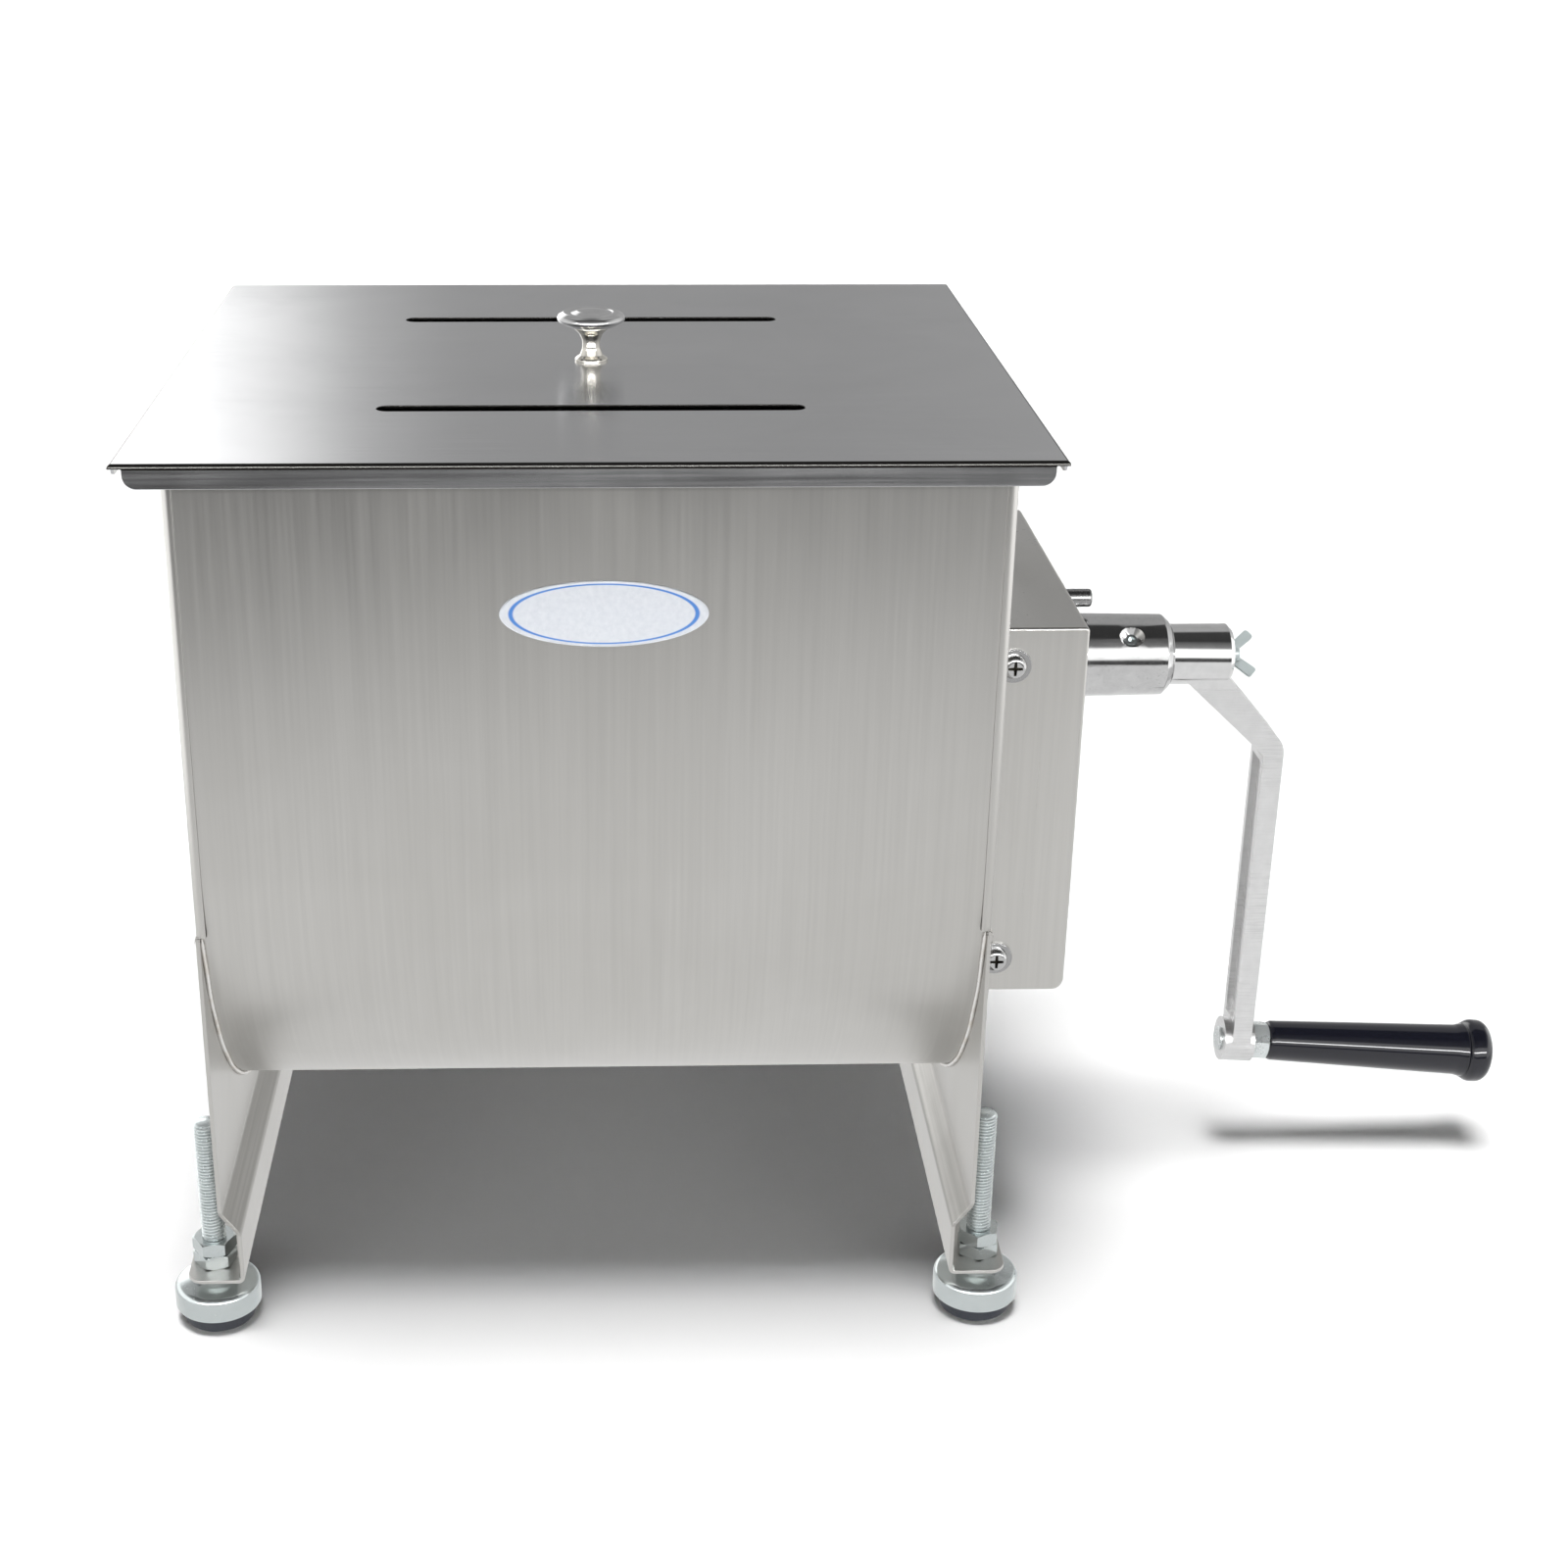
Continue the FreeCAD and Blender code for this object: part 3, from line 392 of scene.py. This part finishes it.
def gloss_plastic(name, value):
    """Moulded gloss plastic with faint handling scuffs."""
    g = Graph(name)
    scuff = g.noise((160, 900, 900), 4.0, 0.7)
    haze = g.noise((30, 30, 30), 4.0, 0.6)
    worn = g.math("MULTIPLY", g.range(scuff, 0.0, 1.0, 0.56, 0.74), g.range(haze, 0.0, 1.0, 0.45, 0.7))
    colour = g.blend(worn, (value, value * 1.08, value * 1.9), grey(value * 2.4))
    return g.finish(Base_Color=colour, Roughness=g.range(worn, 0.07, 0.22, 0.0, 1.0), Coat_Weight=0.4,
                    Coat_Roughness=0.04, Specular_IOR_Level=0.4, Normal=g.bump(haze, 0.06, 0.0001))


def badge_enamel(name, half_x, half_z, centre):
    """Pale enamel with one thin blue oval line near the rim, set by distance from the centre."""
    g = Graph(name)
    local = g.add("VectorMath", {0: g.place(), 1: centre}, operation="SUBTRACT").outputs[0]
    scaled = g.add("VectorMath", {0: local, 1: (1 / half_x, 0.0, 1 / half_z)}, operation="MULTIPLY")
    reach = g.add("VectorMath", {0: scaled.outputs[0]}, operation="LENGTH").outputs["Value"]
    inside = g.range(reach, 0.0, 1.0, 0.862, 0.878)
    outside = g.range(reach, 1.0, 0.0, 0.905, 0.921)
    ring = g.math("MULTIPLY", inside, outside)
    mottle = g.noise((420, 420, 420), 3.0)
    field = g.blend(g.range(mottle, 0.0, 1.0), (0.68, 0.71, 0.76), (0.75, 0.775, 0.82))
    colour = g.blend(ring, field, (0.07, 0.24, 0.66))
    return g.finish(Base_Color=colour, Roughness=g.range(mottle, 0.3, 0.42), Coat_Weight=0.3,
                    Coat_Roughness=0.15, Normal=g.bump(mottle, 0.1, 0.00003))


def weld_metal(name):
    """Weld bead, pale straw in places from the heat."""
    g = Graph(name)
    heat = g.noise((70, 70, 70), 4.0, 0.6, 0.5)
    ripple = g.noise((900, 900, 900), 3.0)
    straw = g.blend(g.range(heat, 0.0, 1.0, 0.45, 0.72), (0.8, 0.79, 0.77), (0.62, 0.57, 0.5))
    return g.finish(Base_Color=straw, Metallic=1.0, Roughness=g.range(ripple, 0.25, 0.42),
                    Normal=g.bump(ripple, 0.4, 0.00006))


# heights in metres of the bands of painted shade: the step above the end plates' feet, and the lid's front
# edge under its top
PLATE_STEP_SHADE = {"low": 0.059, "high": 0.071, "soft": 0.001, "shade_factor": 0.6, "streaky": True}
LID_EDGE_SHADE = {"low": LID_TOP - 0.0026, "high": LID_TOP - 0.00004, "soft": 0.00002, "shade_factor": 0.14,
            "streaky": False}

SHELL_STEEL = sheet_steel("shell_steel", (420, 7, 7), base=0.55, rough=(0.315, 0.36))
PLATE_STEEL = sheet_steel("plate_steel", (420, 420, 7), fold=PLATE_STEP_SHADE)
LID_STEEL = sheet_steel("lid_steel", (9, 520, 520), base=0.58, warmth=-0.012, rough=(0.13, 0.21), axis="X",
                        anisotropy=0.6, depth=0.000008, fold=LID_EDGE_SHADE)
BOX_STEEL = sheet_steel("box_steel", (420, 420, 7), base=0.57, rough=(0.25, 0.36))
PADDLE_STEEL = sheet_steel("paddle_steel", (180, 180, 60), base=0.55, rough=(0.24, 0.36), anisotropy=0.2)
TURNED = turned_metal("turned_stainless", 0.6, rough=(0.16, 0.26), anisotropy=0.2)
CHROME = turned_metal("polished_chrome", 0.58, rough=(0.07, 0.15), lines=(2400, 60, 60), speck=0.2)
# the gearbox screws' cross recesses get painted shade
SCREW_CHROME = turned_metal("screw_chrome", 0.52, rough=(0.12, 0.2), lines=(300, 300, 300), speck=0.1,
                            shaded_recess=("gearbox_screws", 0.006))
PIN_STEEL = turned_metal("pin_steel", 0.32, rough=(0.22, 0.3))
WASHER_STEEL = turned_metal("washer_steel", 0.38, rough=(0.16, 0.24))
KNOB_CHROME = turned_metal("knob_chrome", 0.62, rough=(0.03, 0.07), speck=0.02, depth=0.000001)
KNOB_NICKEL = turned_metal("knob_nickel", 0.68, warmth=0.09, rough=(0.07, 0.14), speck=0.02,
                           depth=0.000002)
CAST = cast_metal("cast_plated", 0.7, CRANK_Z - 0.0168)
ZINC = turned_metal("bright_zinc", 0.58, rough=(0.15, 0.22), lines=(300, 300, 300), green=0.07,
                    speck=0.03, contrast=0.5, depth=0.000002, metallic=0.92)
THREAD_ZINC = turned_metal("thread_zinc", 0.72, rough=(0.2, 0.28), lines=(300, 300, 300), green=0.07,
                           speck=0.03, contrast=0.5, depth=0.000002, metallic=0.7)
WING_ZINC = turned_metal("pale_zinc", 0.58, rough=(0.36, 0.46), lines=(300, 300, 300), green=0.1,
                         speck=0.04, contrast=0.5, metallic=0.45)
SPINDLE_ZINC = turned_metal("satin_zinc", 0.68, rough=(0.24, 0.32), lines=(300, 300, 300), green=0.05,
                            speck=0.05, contrast=0.5, metallic=0.7)
GEAR_STEEL = turned_metal("gear_steel", 0.36, warmth=0.02, rough=(0.26, 0.4), speck=0.25)
BRONZE = turned_metal("sintered_bronze", 0.5, warmth=0.28, rough=(0.32, 0.46), lines=(900, 900, 900),
                      speck=0.5, depth=0.00001)
PAD_RUBBER = rubber("pad_rubber", 0.018)
SEAL_RUBBER = rubber("lip_seal", 0.03)
GRIP_PLASTIC = gloss_plastic("grip_plastic", 0.005)
WELD = weld_metal("weld_bead")

# node: (material, width of the softened edge in metres, bevel segments)
FINISHES = {
    "tank_shell": (SHELL_STEEL, 0.0003, 2),
    "end_plate_right": (PLATE_STEEL, 0.0004, 2),
    "end_plate_left": (PLATE_STEEL, 0.0004, 2),
    "lid_panel": (LID_STEEL, 0.0003, 2),
    "knob_washer": (TURNED, 0.0002, 2),
    "knob_screw": (ZINC, 0.0003, 2),
    "gearbox_cover": (BOX_STEEL, 0.0003, 2),
    "cover_brackets": (PLATE_STEEL, 0.0002, 2),
    "gearbox_screws": (SCREW_CHROME, 0.0002, 2),
    "gearbox_washers": (WASHER_STEEL, 0.0002, 2),
    "hub_collar": (CHROME, 0.0003, 3),
    "collar_set_screw": (ZINC, 0.0001, 2),
    "collar_bushes": (BRONZE, 0.0002, 2),
    "locating_pin": (PIN_STEEL, 0.0002, 2),
    "bearing_housing_right": (TURNED, 0.0003, 2),
    "bearing_housing_left": (TURNED, 0.0003, 2),
    "bearing_screws": (CHROME, 0.0002, 2),
    "shaft_bushes": (BRONZE, 0.0002, 2),
    "shaft_seals": (SEAL_RUBBER, 0.0003, 2),
    "foot_weld_nuts": (ZINC, 0.0002, 2),
    "foot_lock_nuts": (ZINC, 0.0002, 2),
    "drive_shaft": (GEAR_STEEL, 0.0002, 2),
    "drive_pinion": (GEAR_STEEL, 0.00012, 2),
    "pinion_pin": (GEAR_STEEL, 0.0002, 2),
    "crank_key": (GEAR_STEEL, 0.0002, 2),
    "crank_arm": (CAST, 0.0008, 3),
    "grip_spindle": (SPINDLE_ZINC, 0.0003, 3),
    "wing_screw": (WING_ZINC, 0.0005, 3),
    "paddle_shaft": (TURNED, 0.0003, 2),
    "driven_gear": (GEAR_STEEL, 0.00012, 2),
    "gear_key": (GEAR_STEEL, 0.0002, 2),
    "gear_washer": (ZINC, 0.0002, 2),
    "gear_screw": (ZINC, 0.0003, 2),
    "paddle_set_screws": (ZINC, 0.0001, 2),
}
for number in range(1, len(PADDLES) + 1):
    FINISHES["mixing_paddle_%d" % number] = (PADDLE_STEEL, 0.0004, 3)
for corner in FEET:
    FINISHES["foot_cup_" + corner] = (ZINC, 0.0004, 3)
    FINISHES["foot_pad_" + corner] = (PAD_RUBBER, 0.0003, 3)

for name, (material, width, segments) in FINISHES.items():
    for slot in nodes[name].material_slots:
        slot.material = material
    soften(name, width, segments)


# ---- badge -----------------------------------------------------------------------------
def make_badge():
    """Domed oval plate with a rolled rim, in place of the plain CAD oval."""
    low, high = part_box("badge_plate")
    centre = (low + high) / 2
    half_x = (high.x - low.x) / 2
    half_z = (high.z - low.z) / 2
    depth = high.y - low.y
    # shares of the oval's half widths, and of the plate's depth
    profile = [(1.0, 0.0), (1.0, 0.35), (0.992, 0.62), (0.98, 0.8), (0.965, 0.84), (0.95, 0.78), (0.93, 0.72),
               (0.9, 0.76), (0.8, 0.84), (0.6, 0.93), (0.35, 0.985), (0.0, 1.0)]
    bm = bmesh.new()
    rings = []
    for reach, rise in profile:
        y = high.y - rise * depth
        if reach == 0:
            rings.append([bm.verts.new((centre.x, y, centre.z))])
            continue
        rings.append([bm.verts.new((centre.x + half_x * reach * math.cos(a), y,
                                    centre.z + half_z * reach * math.sin(a)))
                      for a in turns(128)])
    bm.faces.new(rings[0])
    skin(bm, rings)
    enamel = badge_enamel("badge_enamel", half_x, half_z, tuple(centre))
    return piece("badge", bm, "frame", enamel, ["badge_plate"])


# ---- lid knob --------------------------------------------------------------------------
def make_knob():
    """Waisted stem under a dished disc, in place of the CAD knob."""
    low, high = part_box("lid_knob")
    x, y = (low.x + high.x) / 2, (low.y + high.y) / 2
    reach = (high.x - low.x) / 2
    rise = high.z - low.z
    # (radius, height) as shares of the disc's radius and of the whole rise, then a corner radius
    stem = [(0.0, 0.0), (0.48, 0.0), (0.485, 0.045, 0.02), (0.43, 0.078, 0.015), (0.34, 0.118, 0.03),
            (0.265, 0.25, 0.2), (0.26, 0.4, 0.2), (0.35, 0.53, 0.12), (0.52, 0.645, 0.02), (0.52, 0.665)]
    disc = [(0.52, 0.665), (0.74, 0.7, 0.05), (0.98, 0.79, 0.06), (1.0, 0.845, 0.04), (0.955, 0.9, 0.05),
            (0.8, 0.955, 0.08), (0.66, 0.95, 0.03), (0.6, 0.935, 0.05), (0.4, 0.98, 0.3), (0.0, 1.0)]
    bm = bmesh.new()
    place = Matrix.Translation((x, y, low.z))
    outline = rounded(stem)[:-1] + rounded(disc)
    lathe(bm, [(p.x * reach, p.y * rise) for p in outline], place)
    knob = piece("knob", bm, "lid", KNOB_NICKEL, ["lid_knob"])
    knob.data.materials.append(KNOB_CHROME)
    split = low.z + 0.668 * rise      # nickel stem below, chromed disc above
    for face in knob.data.polygons:
        if face.center.z > split:
            face.material_index = 1
    return knob


# ---- grip ------------------------------------------------------------------------------
def make_grip():
    """Tapered gloss grip with a rolled bead and a dished end."""
    joint = joints["grip_spin"]
    direction = Vector(joint["axis"]).normalized()
    start = Vector(joint["pos_m"]) + direction * 0.018      # where the grip meets the hexagon
    end = 0.1266                                            # the grip's length
    bead = 0.0176                                           # radii: outer bead, bore, rivet head's room
    bore = 0.00506
    room = 0.0069
    outside = rounded([(bore, 0.0), (0.0098, 0.0), (0.0104, 0.0007, 0.0004), (0.0111, 0.0022, 0.0012),
                       (0.01265, 0.055, 0.4), (0.01415, end - 0.0185, 0.01), (0.0148, end - 0.0155, 0.004),
                       (0.0151, end - 0.0138, 0.0007), (bead, end - 0.0132, 0.0058),
                       (bead, end - 0.0012, 0.0062), (0.0122, end - 0.0001, 0.002),
                       (0.0112, end - 0.0012, 0.0008), (0.0, end - 0.0006)], steps=10)
    inside = [(0.0, end - 0.0126), (room, end - 0.0126), (room, end - 0.0206), (bore, end - 0.0206),
              (bore, 0.0)]
    bm = bmesh.new()
    place = aimed(start, direction)
    lathe(bm, [(p.x, p.y) for p in outside], place)
    lathe(bm, inside, place)
    bmesh.ops.remove_doubles(bm, verts=bm.verts, dist=1e-6)
    return piece("grip", bm, "grip", GRIP_PLASTIC, ["crank_grip"])


# ---- feet ------------------------------------------------------------------------------
def make_stud(corner):
    """M12 stud with a real helical thread, in place of the plain CAD rod."""
    low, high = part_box("foot_stud_" + corner)
    x, y = (low.x + high.x) / 2, (low.y + high.y) / 2
    radius = (high.x - low.x) / 2
    pitch, depth, chamfer = 0.00175, 0.0008, 0.0013
    # one turn of the thread, crest then root: share of the pitch, and how deep it is cut
    profile = [(0.0, 0.0), (0.24, 0.0), (0.56, depth), (0.7, depth)]
    segments = 32
    threads = int((high.z - low.z) / pitch) + 2
    bm = bmesh.new()
    columns = []
    for i, angle in enumerate(turns(segments)):
        column = []
        for turn in range(threads):
            for fraction, cut in profile:
                z = low.z + (turn - 1 + fraction + i / segments) * pitch
                end = chamfer * (1 - min(max((high.z - z) / chamfer, 0.0), 1.0))
                reach = radius - max(cut, end)
                column.append(bm.verts.new((x + reach * math.cos(angle), y + reach * math.sin(angle),
                                            min(max(z, low.z), high.z))))
        columns.append(column)
    for i, here in enumerate(columns):
        following = columns[(i + 1) % segments]
        lead = len(profile) if i == segments - 1 else 0     # the helix climbs one pitch a turn
        for k in range(len(here) - 1 - lead):
            bm.faces.new((here[k], following[k + lead], following[k + 1 + lead], here[k + 1]))
    bmesh.ops.remove_doubles(bm, verts=bm.verts, dist=SAME_POINT)
    bmesh.ops.dissolve_degenerate(bm, edges=bm.edges, dist=1e-7)
    bmesh.ops.holes_fill(bm, edges=[edge for edge in bm.edges if edge.is_boundary])
    return piece("stud_thread_" + corner, bm, "foot_" + corner, THREAD_ZINC,
                 ["foot_stud_" + corner], THREAD_SHARP)


# ---- welds -----------------------------------------------------------------------------
BEAD_RADIUS = 0.0011


def bead_section(width, count):
    """Round section of a weld bead."""
    return [(width * math.cos(a), width * math.sin(a)) for a in turns(count)]


def make_tank_weld(name, side):
    """Fine bead where the U bottom meets the end plate, with the ripple of a machine weld."""
    inset = 0.0009                                               # from the shell's end
    x = TANK_X + side * (SHELL_HIGH.x - TANK_X - inset)
    radius = TANK_RADIUS + BEAD_RADIUS
    first, last = math.radians(-169.5), math.radians(-10.5)      # just short of the U's two ends
    steps = 620                                                  # enough for each ripple to show
    path = []
    for i in range(steps + 1):
        angle = first + (last - first) * i / steps
        out = Vector((0, math.cos(angle), math.sin(angle)))
        wave = math.sin(i * 1.35 + 0.6 * math.sin(i * 0.21))
        ends = min(1.0, i / 5, (steps - i) / 5)
        swell = (0.93 + 0.05 * wave + 0.04 * math.sin(i * 0.083 + side)) * (0.35 + 0.65 * ends)
        origin = Vector((x + 0.00012 * math.sin(i * 0.13 + 2 * side), 0, PADDLE_Z)) + out * radius
        path.append((origin, X_AXIS, out, swell))
    bm = bmesh.new()
    tube(bm, path, bead_section(BEAD_RADIUS, 10))
    return piece(name, bm, "frame", WELD, sharp=WELD_SHARP)


def make_paddle_weld(number, turn):
    """Beads where a paddle's round arm meets its hub and lies in its blade."""
    low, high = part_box("mixing_paddle_%d" % number)
    middle = Vector(((low.x + high.x) / 2, 0, PADDLE_Z))
    arm, hub = 0.006, 0.016                       # radii
    blade_face = 0.0016                           # from the blade's mid plane
    seam_middle, seam_half = 0.1115, 0.0245       # along the arm, in the blade
    end_bulge = 0.0016                            # of the seam round the arm's end
    straight, bend = 22, 16                       # steps down each side and round the arm's end
    out = Vector((0, math.cos(turn), math.sin(turn)))
    across = out.cross(X_AXIS)
    bm = bmesh.new()
    ring = []
    for i, angle in enumerate(turns(48)):
        away = X_AXIS * math.cos(angle) + across * math.sin(angle)
        height = math.sqrt(hub ** 2 - (arm * math.sin(angle)) ** 2)
        swell = BEAD_RADIUS * (1 + 0.12 * math.sin(i * 1.9 + number))
        centre = middle + away * (arm + 0.0004) + out * (height + 0.0003)
        ring.append([bm.verts.new(centre + (away * u + out * v) * swell) for u, v in bead_section(1.0, 8)])
    skin(bm, ring, closed=True)
    blade_turn = Matrix.Rotation(math.radians(35), 3, out)
    flat = blade_turn @ X_AXIS
    for face in (-1, 1):
        normal = out.cross(flat) * face
        path = []
        for i in range(2 * straight + bend + 1):
            if i <= straight:
                u, v = -1, i / straight
            elif i <= straight + bend:
                u, v = math.cos(math.pi * (1 - (i - straight) / bend)), 1
            else:
                u, v = 1, (2 * straight + bend - i) / straight
            rise = seam_middle + seam_half * v + end_bulge * math.sqrt(max(0.0, 1 - u * u))
            origin = middle + out * rise + flat * (u * arm * 1.02) + normal * blade_face
            swell = BEAD_RADIUS * (1 + 0.12 * math.sin(i * 1.7 + number + face))
            along = (out if u == -1 else -out) if abs(u) == 1 else flat
            side = normal.cross(along)
            path.append((origin, side, normal, swell))
        tube(bm, path, bead_section(1.0, 8))
    return piece("paddle_weld_%d" % number, bm, "paddle", WELD, sharp=WELD_SHARP)


make_badge()
make_knob()
make_grip()
for corner in FEET:
    make_stud(corner)
make_tank_weld("tank_weld_right", 1)
make_tank_weld("tank_weld_left", -1)
for number, degrees in enumerate(PADDLES, 1):
    make_paddle_weld(number, math.radians(degrees))


# ---- floor, light and camera ------------------------------------------------------------
NEAR_FLOOR = 1.45                 # radius of the floor that glows in the metal
FAR_FLOOR = 40.0
FLOOR_X = 0.34                    # the floor's middle, right of the object's centre
FLOOR_GLOW = 0.93
GLOW_DROP = 0.0006                # of the glow below the floor
SIDE_CARD_X = 0.95
SIDE_CARD_Y = (-0.75, 0.55)
SIDE_CARD_TOP = 0.42
SIDE_CARD_GLOW = 1.7
BACKDROP_RADIUS = 38.0
BACKDROP_TOP = 40.0
STUDIO_PEAK = 40.0                # brightness of the surround's brightest lamp
DULL_SHARE = 0.06                 # of the surround's light that dull surfaces get

# brightness by angle over the object: a turn about the X axis that starts on the far side, at
# -180 degrees, passes under the floor, the camera's side, at 0, and the top, at 90, and ends
# on the far side again
STUDIO_ARC = [(-180, 0.5), (-120, 0.3), (-60, 0.25), (-12, 0.08), (2, 0.08), (6, 1.6), (18, 1.8),
              (19, 40.0), (20.3, 40.0), (21.5, 1.8), (34, 1.9), (40, 0.3),
              (60, 0.16), (68, 0.05), (108, 0.06), (116, 0.5), (150, 0.46), (170, 0.42), (180, 0.5)]

# brightness of the far side from left to right, as x / y of the direction plus a half
STUDIO_OPENING = [(0.22, 2.3), (0.3, 2.2), (0.40, 0.6), (0.44, 0.42), (0.6, 0.4), (0.9, 0.55)]
STUDIO_ENDS = 1.0                 # brightness straight left and right


def stage_piece(name, bm, material):
    """Puts a mesh of the studio into the scene, with no body to ride on."""
    obj = add_mesh(name, bm, material)
    return obj


def floor_ring(name, inner, outer, z, material):
    """Flat ring or disc of floor."""
    bm = bmesh.new()
    rings = []
    for radius in (inner, outer):
        if radius == 0:
            rings.append([bm.verts.new((FLOOR_X, 0, z))])
        else:
            rings.append([bm.verts.new((FLOOR_X + radius * math.cos(a), radius * math.sin(a), z))
                          for a in turns(128)])
    skin(bm, rings)
    bmesh.ops.recalc_face_normals(bm, faces=bm.faces)
    return stage_piece(name, bm, material)


def glow(g, strength):
    """Makes a graph's material a plain even lamp of that strength."""
    return g.finish(Base_Color=grey(0.0), Roughness=1.0, Specular_IOR_Level=0.0,
                    Emission_Color=grey(1.0), Emission_Strength=strength)


def mirrored_glow(name, strength):
    """Even light that the metal mirrors; light on its way to a dull surface gets none of it, so
    that the shadow on the floor stays deep."""
    g = Graph(name)
    wash = g.range(g.noise((3, 3, 3), 2.0), strength * 0.98, strength * 1.02)
    return glow(g, g.math("MULTIPLY", wash, g.math("SUBTRACT", 1.0, g.dull_rays())))


def mirrored_only(obj):
    """Leaves a studio piece to be seen by the metal alone."""
    obj.visible_camera = False
    obj.visible_diffuse = False
    obj.visible_shadow = False
    obj.visible_transmission = False


def make_floor():
    """White paper floor, and under it the glow that the metal sees in its place."""
    g = Graph("studio_floor")
    paper = g.noise((30, 30, 30), 4.0)
    colour = g.blend(g.range(paper, 0.0, 1.0), grey(0.9), grey(0.906))
    material = g.finish(Base_Color=colour, Roughness=0.9, Specular_IOR_Level=0.0)
    for name, inner, outer in (("floor_near", 0, NEAR_FLOOR), ("floor_far", NEAR_FLOOR, FAR_FLOOR)):
        floor = floor_ring(name, inner, outer, 0.0, material)
        floor.visible_glossy = False      # steel sees the glow instead, without the shadow
    glowing = floor_ring("floor_glow", 0, NEAR_FLOOR, -GLOW_DROP, mirrored_glow("floor_glow", FLOOR_GLOW))
    mirrored_only(glowing)


def make_side_card(name, x):
    """Tall white card beside the tank, mirrored in its upright folds."""
    bm = bmesh.new()
    near, far = SIDE_CARD_Y
    corners = [(x, near, 0.0), (x, far, 0.0), (x, far, SIDE_CARD_TOP), (x, near, SIDE_CARD_TOP)]
    bm.faces.new([bm.verts.new(corner) for corner in corners])
    mirrored_only(stage_piece(name, bm, mirrored_glow(name, SIDE_CARD_GLOW)))


def make_backdrop():
    """Plain white wall near the floor's far edge, which lights nothing."""
    bm = bmesh.new()
    rings = []
    for z in (0.0, BACKDROP_TOP):
        rings.append([bm.verts.new((BACKDROP_RADIUS * math.cos(a), BACKDROP_RADIUS * math.sin(a), z))
                      for a in turns(64)])
    skin(bm, rings)
    g = Graph("backdrop")
    wall = stage_piece("backdrop", bm, glow(g, g.range(g.noise((0.2, 0.2, 0.2), 2.0), 1.0, 1.02)))
    wall.visible_glossy = False
    wall.visible_diffuse = False
    wall.visible_shadow = False
    wall.visible_transmission = False


def studio_ramp(g, factor, stops):
    """Grey from (position, brightness) stops, as a share of the brightest lamp."""
    made = g.add("ValToRGB", {0: factor})
    elements = made.color_ramp.elements
    while len(elements) > 1:
        elements.remove(elements[-1])
    elements[0].position = stops[0][0]
    for position, value in stops[1:]:
        elements.new(position)
    for element, (position, value) in zip(elements, stops):
        element.color = (*grey(value / STUDIO_PEAK), 1.0)
    return made.outputs[0]


def make_world():
    """Studio surround seen in the metal: a broad lamp behind the camera, a dark ceiling, a grey
    far side with a bright opening on its left, and even light at both ends."""
    world = bpy.data.worlds.new("studio")
    bpy.context.scene.world = world
    world.use_nodes = True
    g = Tree(world.node_tree)
    background = g.tree.nodes["Background"]
    towards = g.add("TexCoord").outputs["Generated"]
    x, y, z = g.add("SeparateXYZ", {0: towards}).outputs
    turn = g.math("ARCTAN2", z, g.math("MULTIPLY", y, -1.0))
    arc = g.math("ADD", g.math("DIVIDE", turn, 2 * math.pi), 0.5)
    over = studio_ramp(g, arc, [((degrees + 180) / 360, value) for degrees, value in STUDIO_ARC])
    sideways = g.math("DIVIDE", x, g.math("MAXIMUM", y, 0.02))
    opening = studio_ramp(g, g.math("ADD", sideways, 0.5), STUDIO_OPENING)
    # masks by the direction's y, z and x: the far side, what is low, and both ends
    rear = g.range(y, 0.0, 1.0, 0.35, 0.75)
    low = g.range(z, 1.0, 0.0, 0.4, 0.58)
    ends = g.range(g.math("ABSOLUTE", x), 0.0, 1.0, 0.6, 0.95)
    colour = g.blend(g.math("MULTIPLY", rear, low), over, opening)
    colour = g.blend(ends, colour, grey(STUDIO_ENDS / STUDIO_PEAK))
    g.set(background, "Color", colour)
    # dull surfaces get little of the surround, so that the sun's shadow stays deep
    share = g.math("SUBTRACT", 1.0, g.math("MULTIPLY", g.dull_rays(), 1 - DULL_SHARE))
    g.set(background, "Strength", g.math("MULTIPLY", share, STUDIO_PEAK))


def make_sun(name, direction, spread, strength):
    """Broad even lamp that lights the floor and the dull parts, and isn't mirrored by the metal."""
    data = bpy.data.lights.new(name, "SUN")
    data.angle = spread
    data.energy = strength
    lamp = bpy.data.objects.new(name, data)
    lamp.rotation_euler = direction.to_track_quat("-Z", "Y").to_euler()
    lamp.visible_glossy = False
    bpy.context.scene.collection.objects.link(lamp)


def make_camera():
    """Camera in front of the tank and above it, looking down at it."""
    place = Vector((-0.14398, -1.18, 0.7245))
    pitch, yaw, roll = 0.400163, 0.030904, -0.0044896       # down, to the right, and about the view
    forward = Vector((math.sin(yaw) * math.cos(pitch), math.cos(yaw) * math.cos(pitch), -math.sin(pitch)))
    right = Vector((math.cos(yaw), -math.sin(yaw), 0))
    down = forward.cross(right)
    side = right * math.cos(roll) + down * math.sin(roll)
    under = down * math.cos(roll) - right * math.sin(roll)
    data = bpy.data.cameras.new("camera")
    data.lens = 54.816
    data.sensor_width = 36
    data.shift_x = 0.075
    data.clip_end = 100               # past the backdrop
    camera = bpy.data.objects.new("camera", data)
    rotation = Matrix((side, -under, -forward)).transposed()
    camera.matrix_world = Matrix.Translation(place) @ rotation.to_4x4()
    bpy.context.scene.collection.objects.link(camera)
    bpy.context.scene.camera = camera


make_floor()
make_side_card("side_card_right", SIDE_CARD_X)
make_side_card("side_card_left", -SIDE_CARD_X)
make_backdrop()
make_world()
make_sun("key", Vector((0.06, 0.08, -1.0)), math.radians(23), 3.5)
make_camera()
bpy.context.scene.view_settings.view_transform = "Standard"
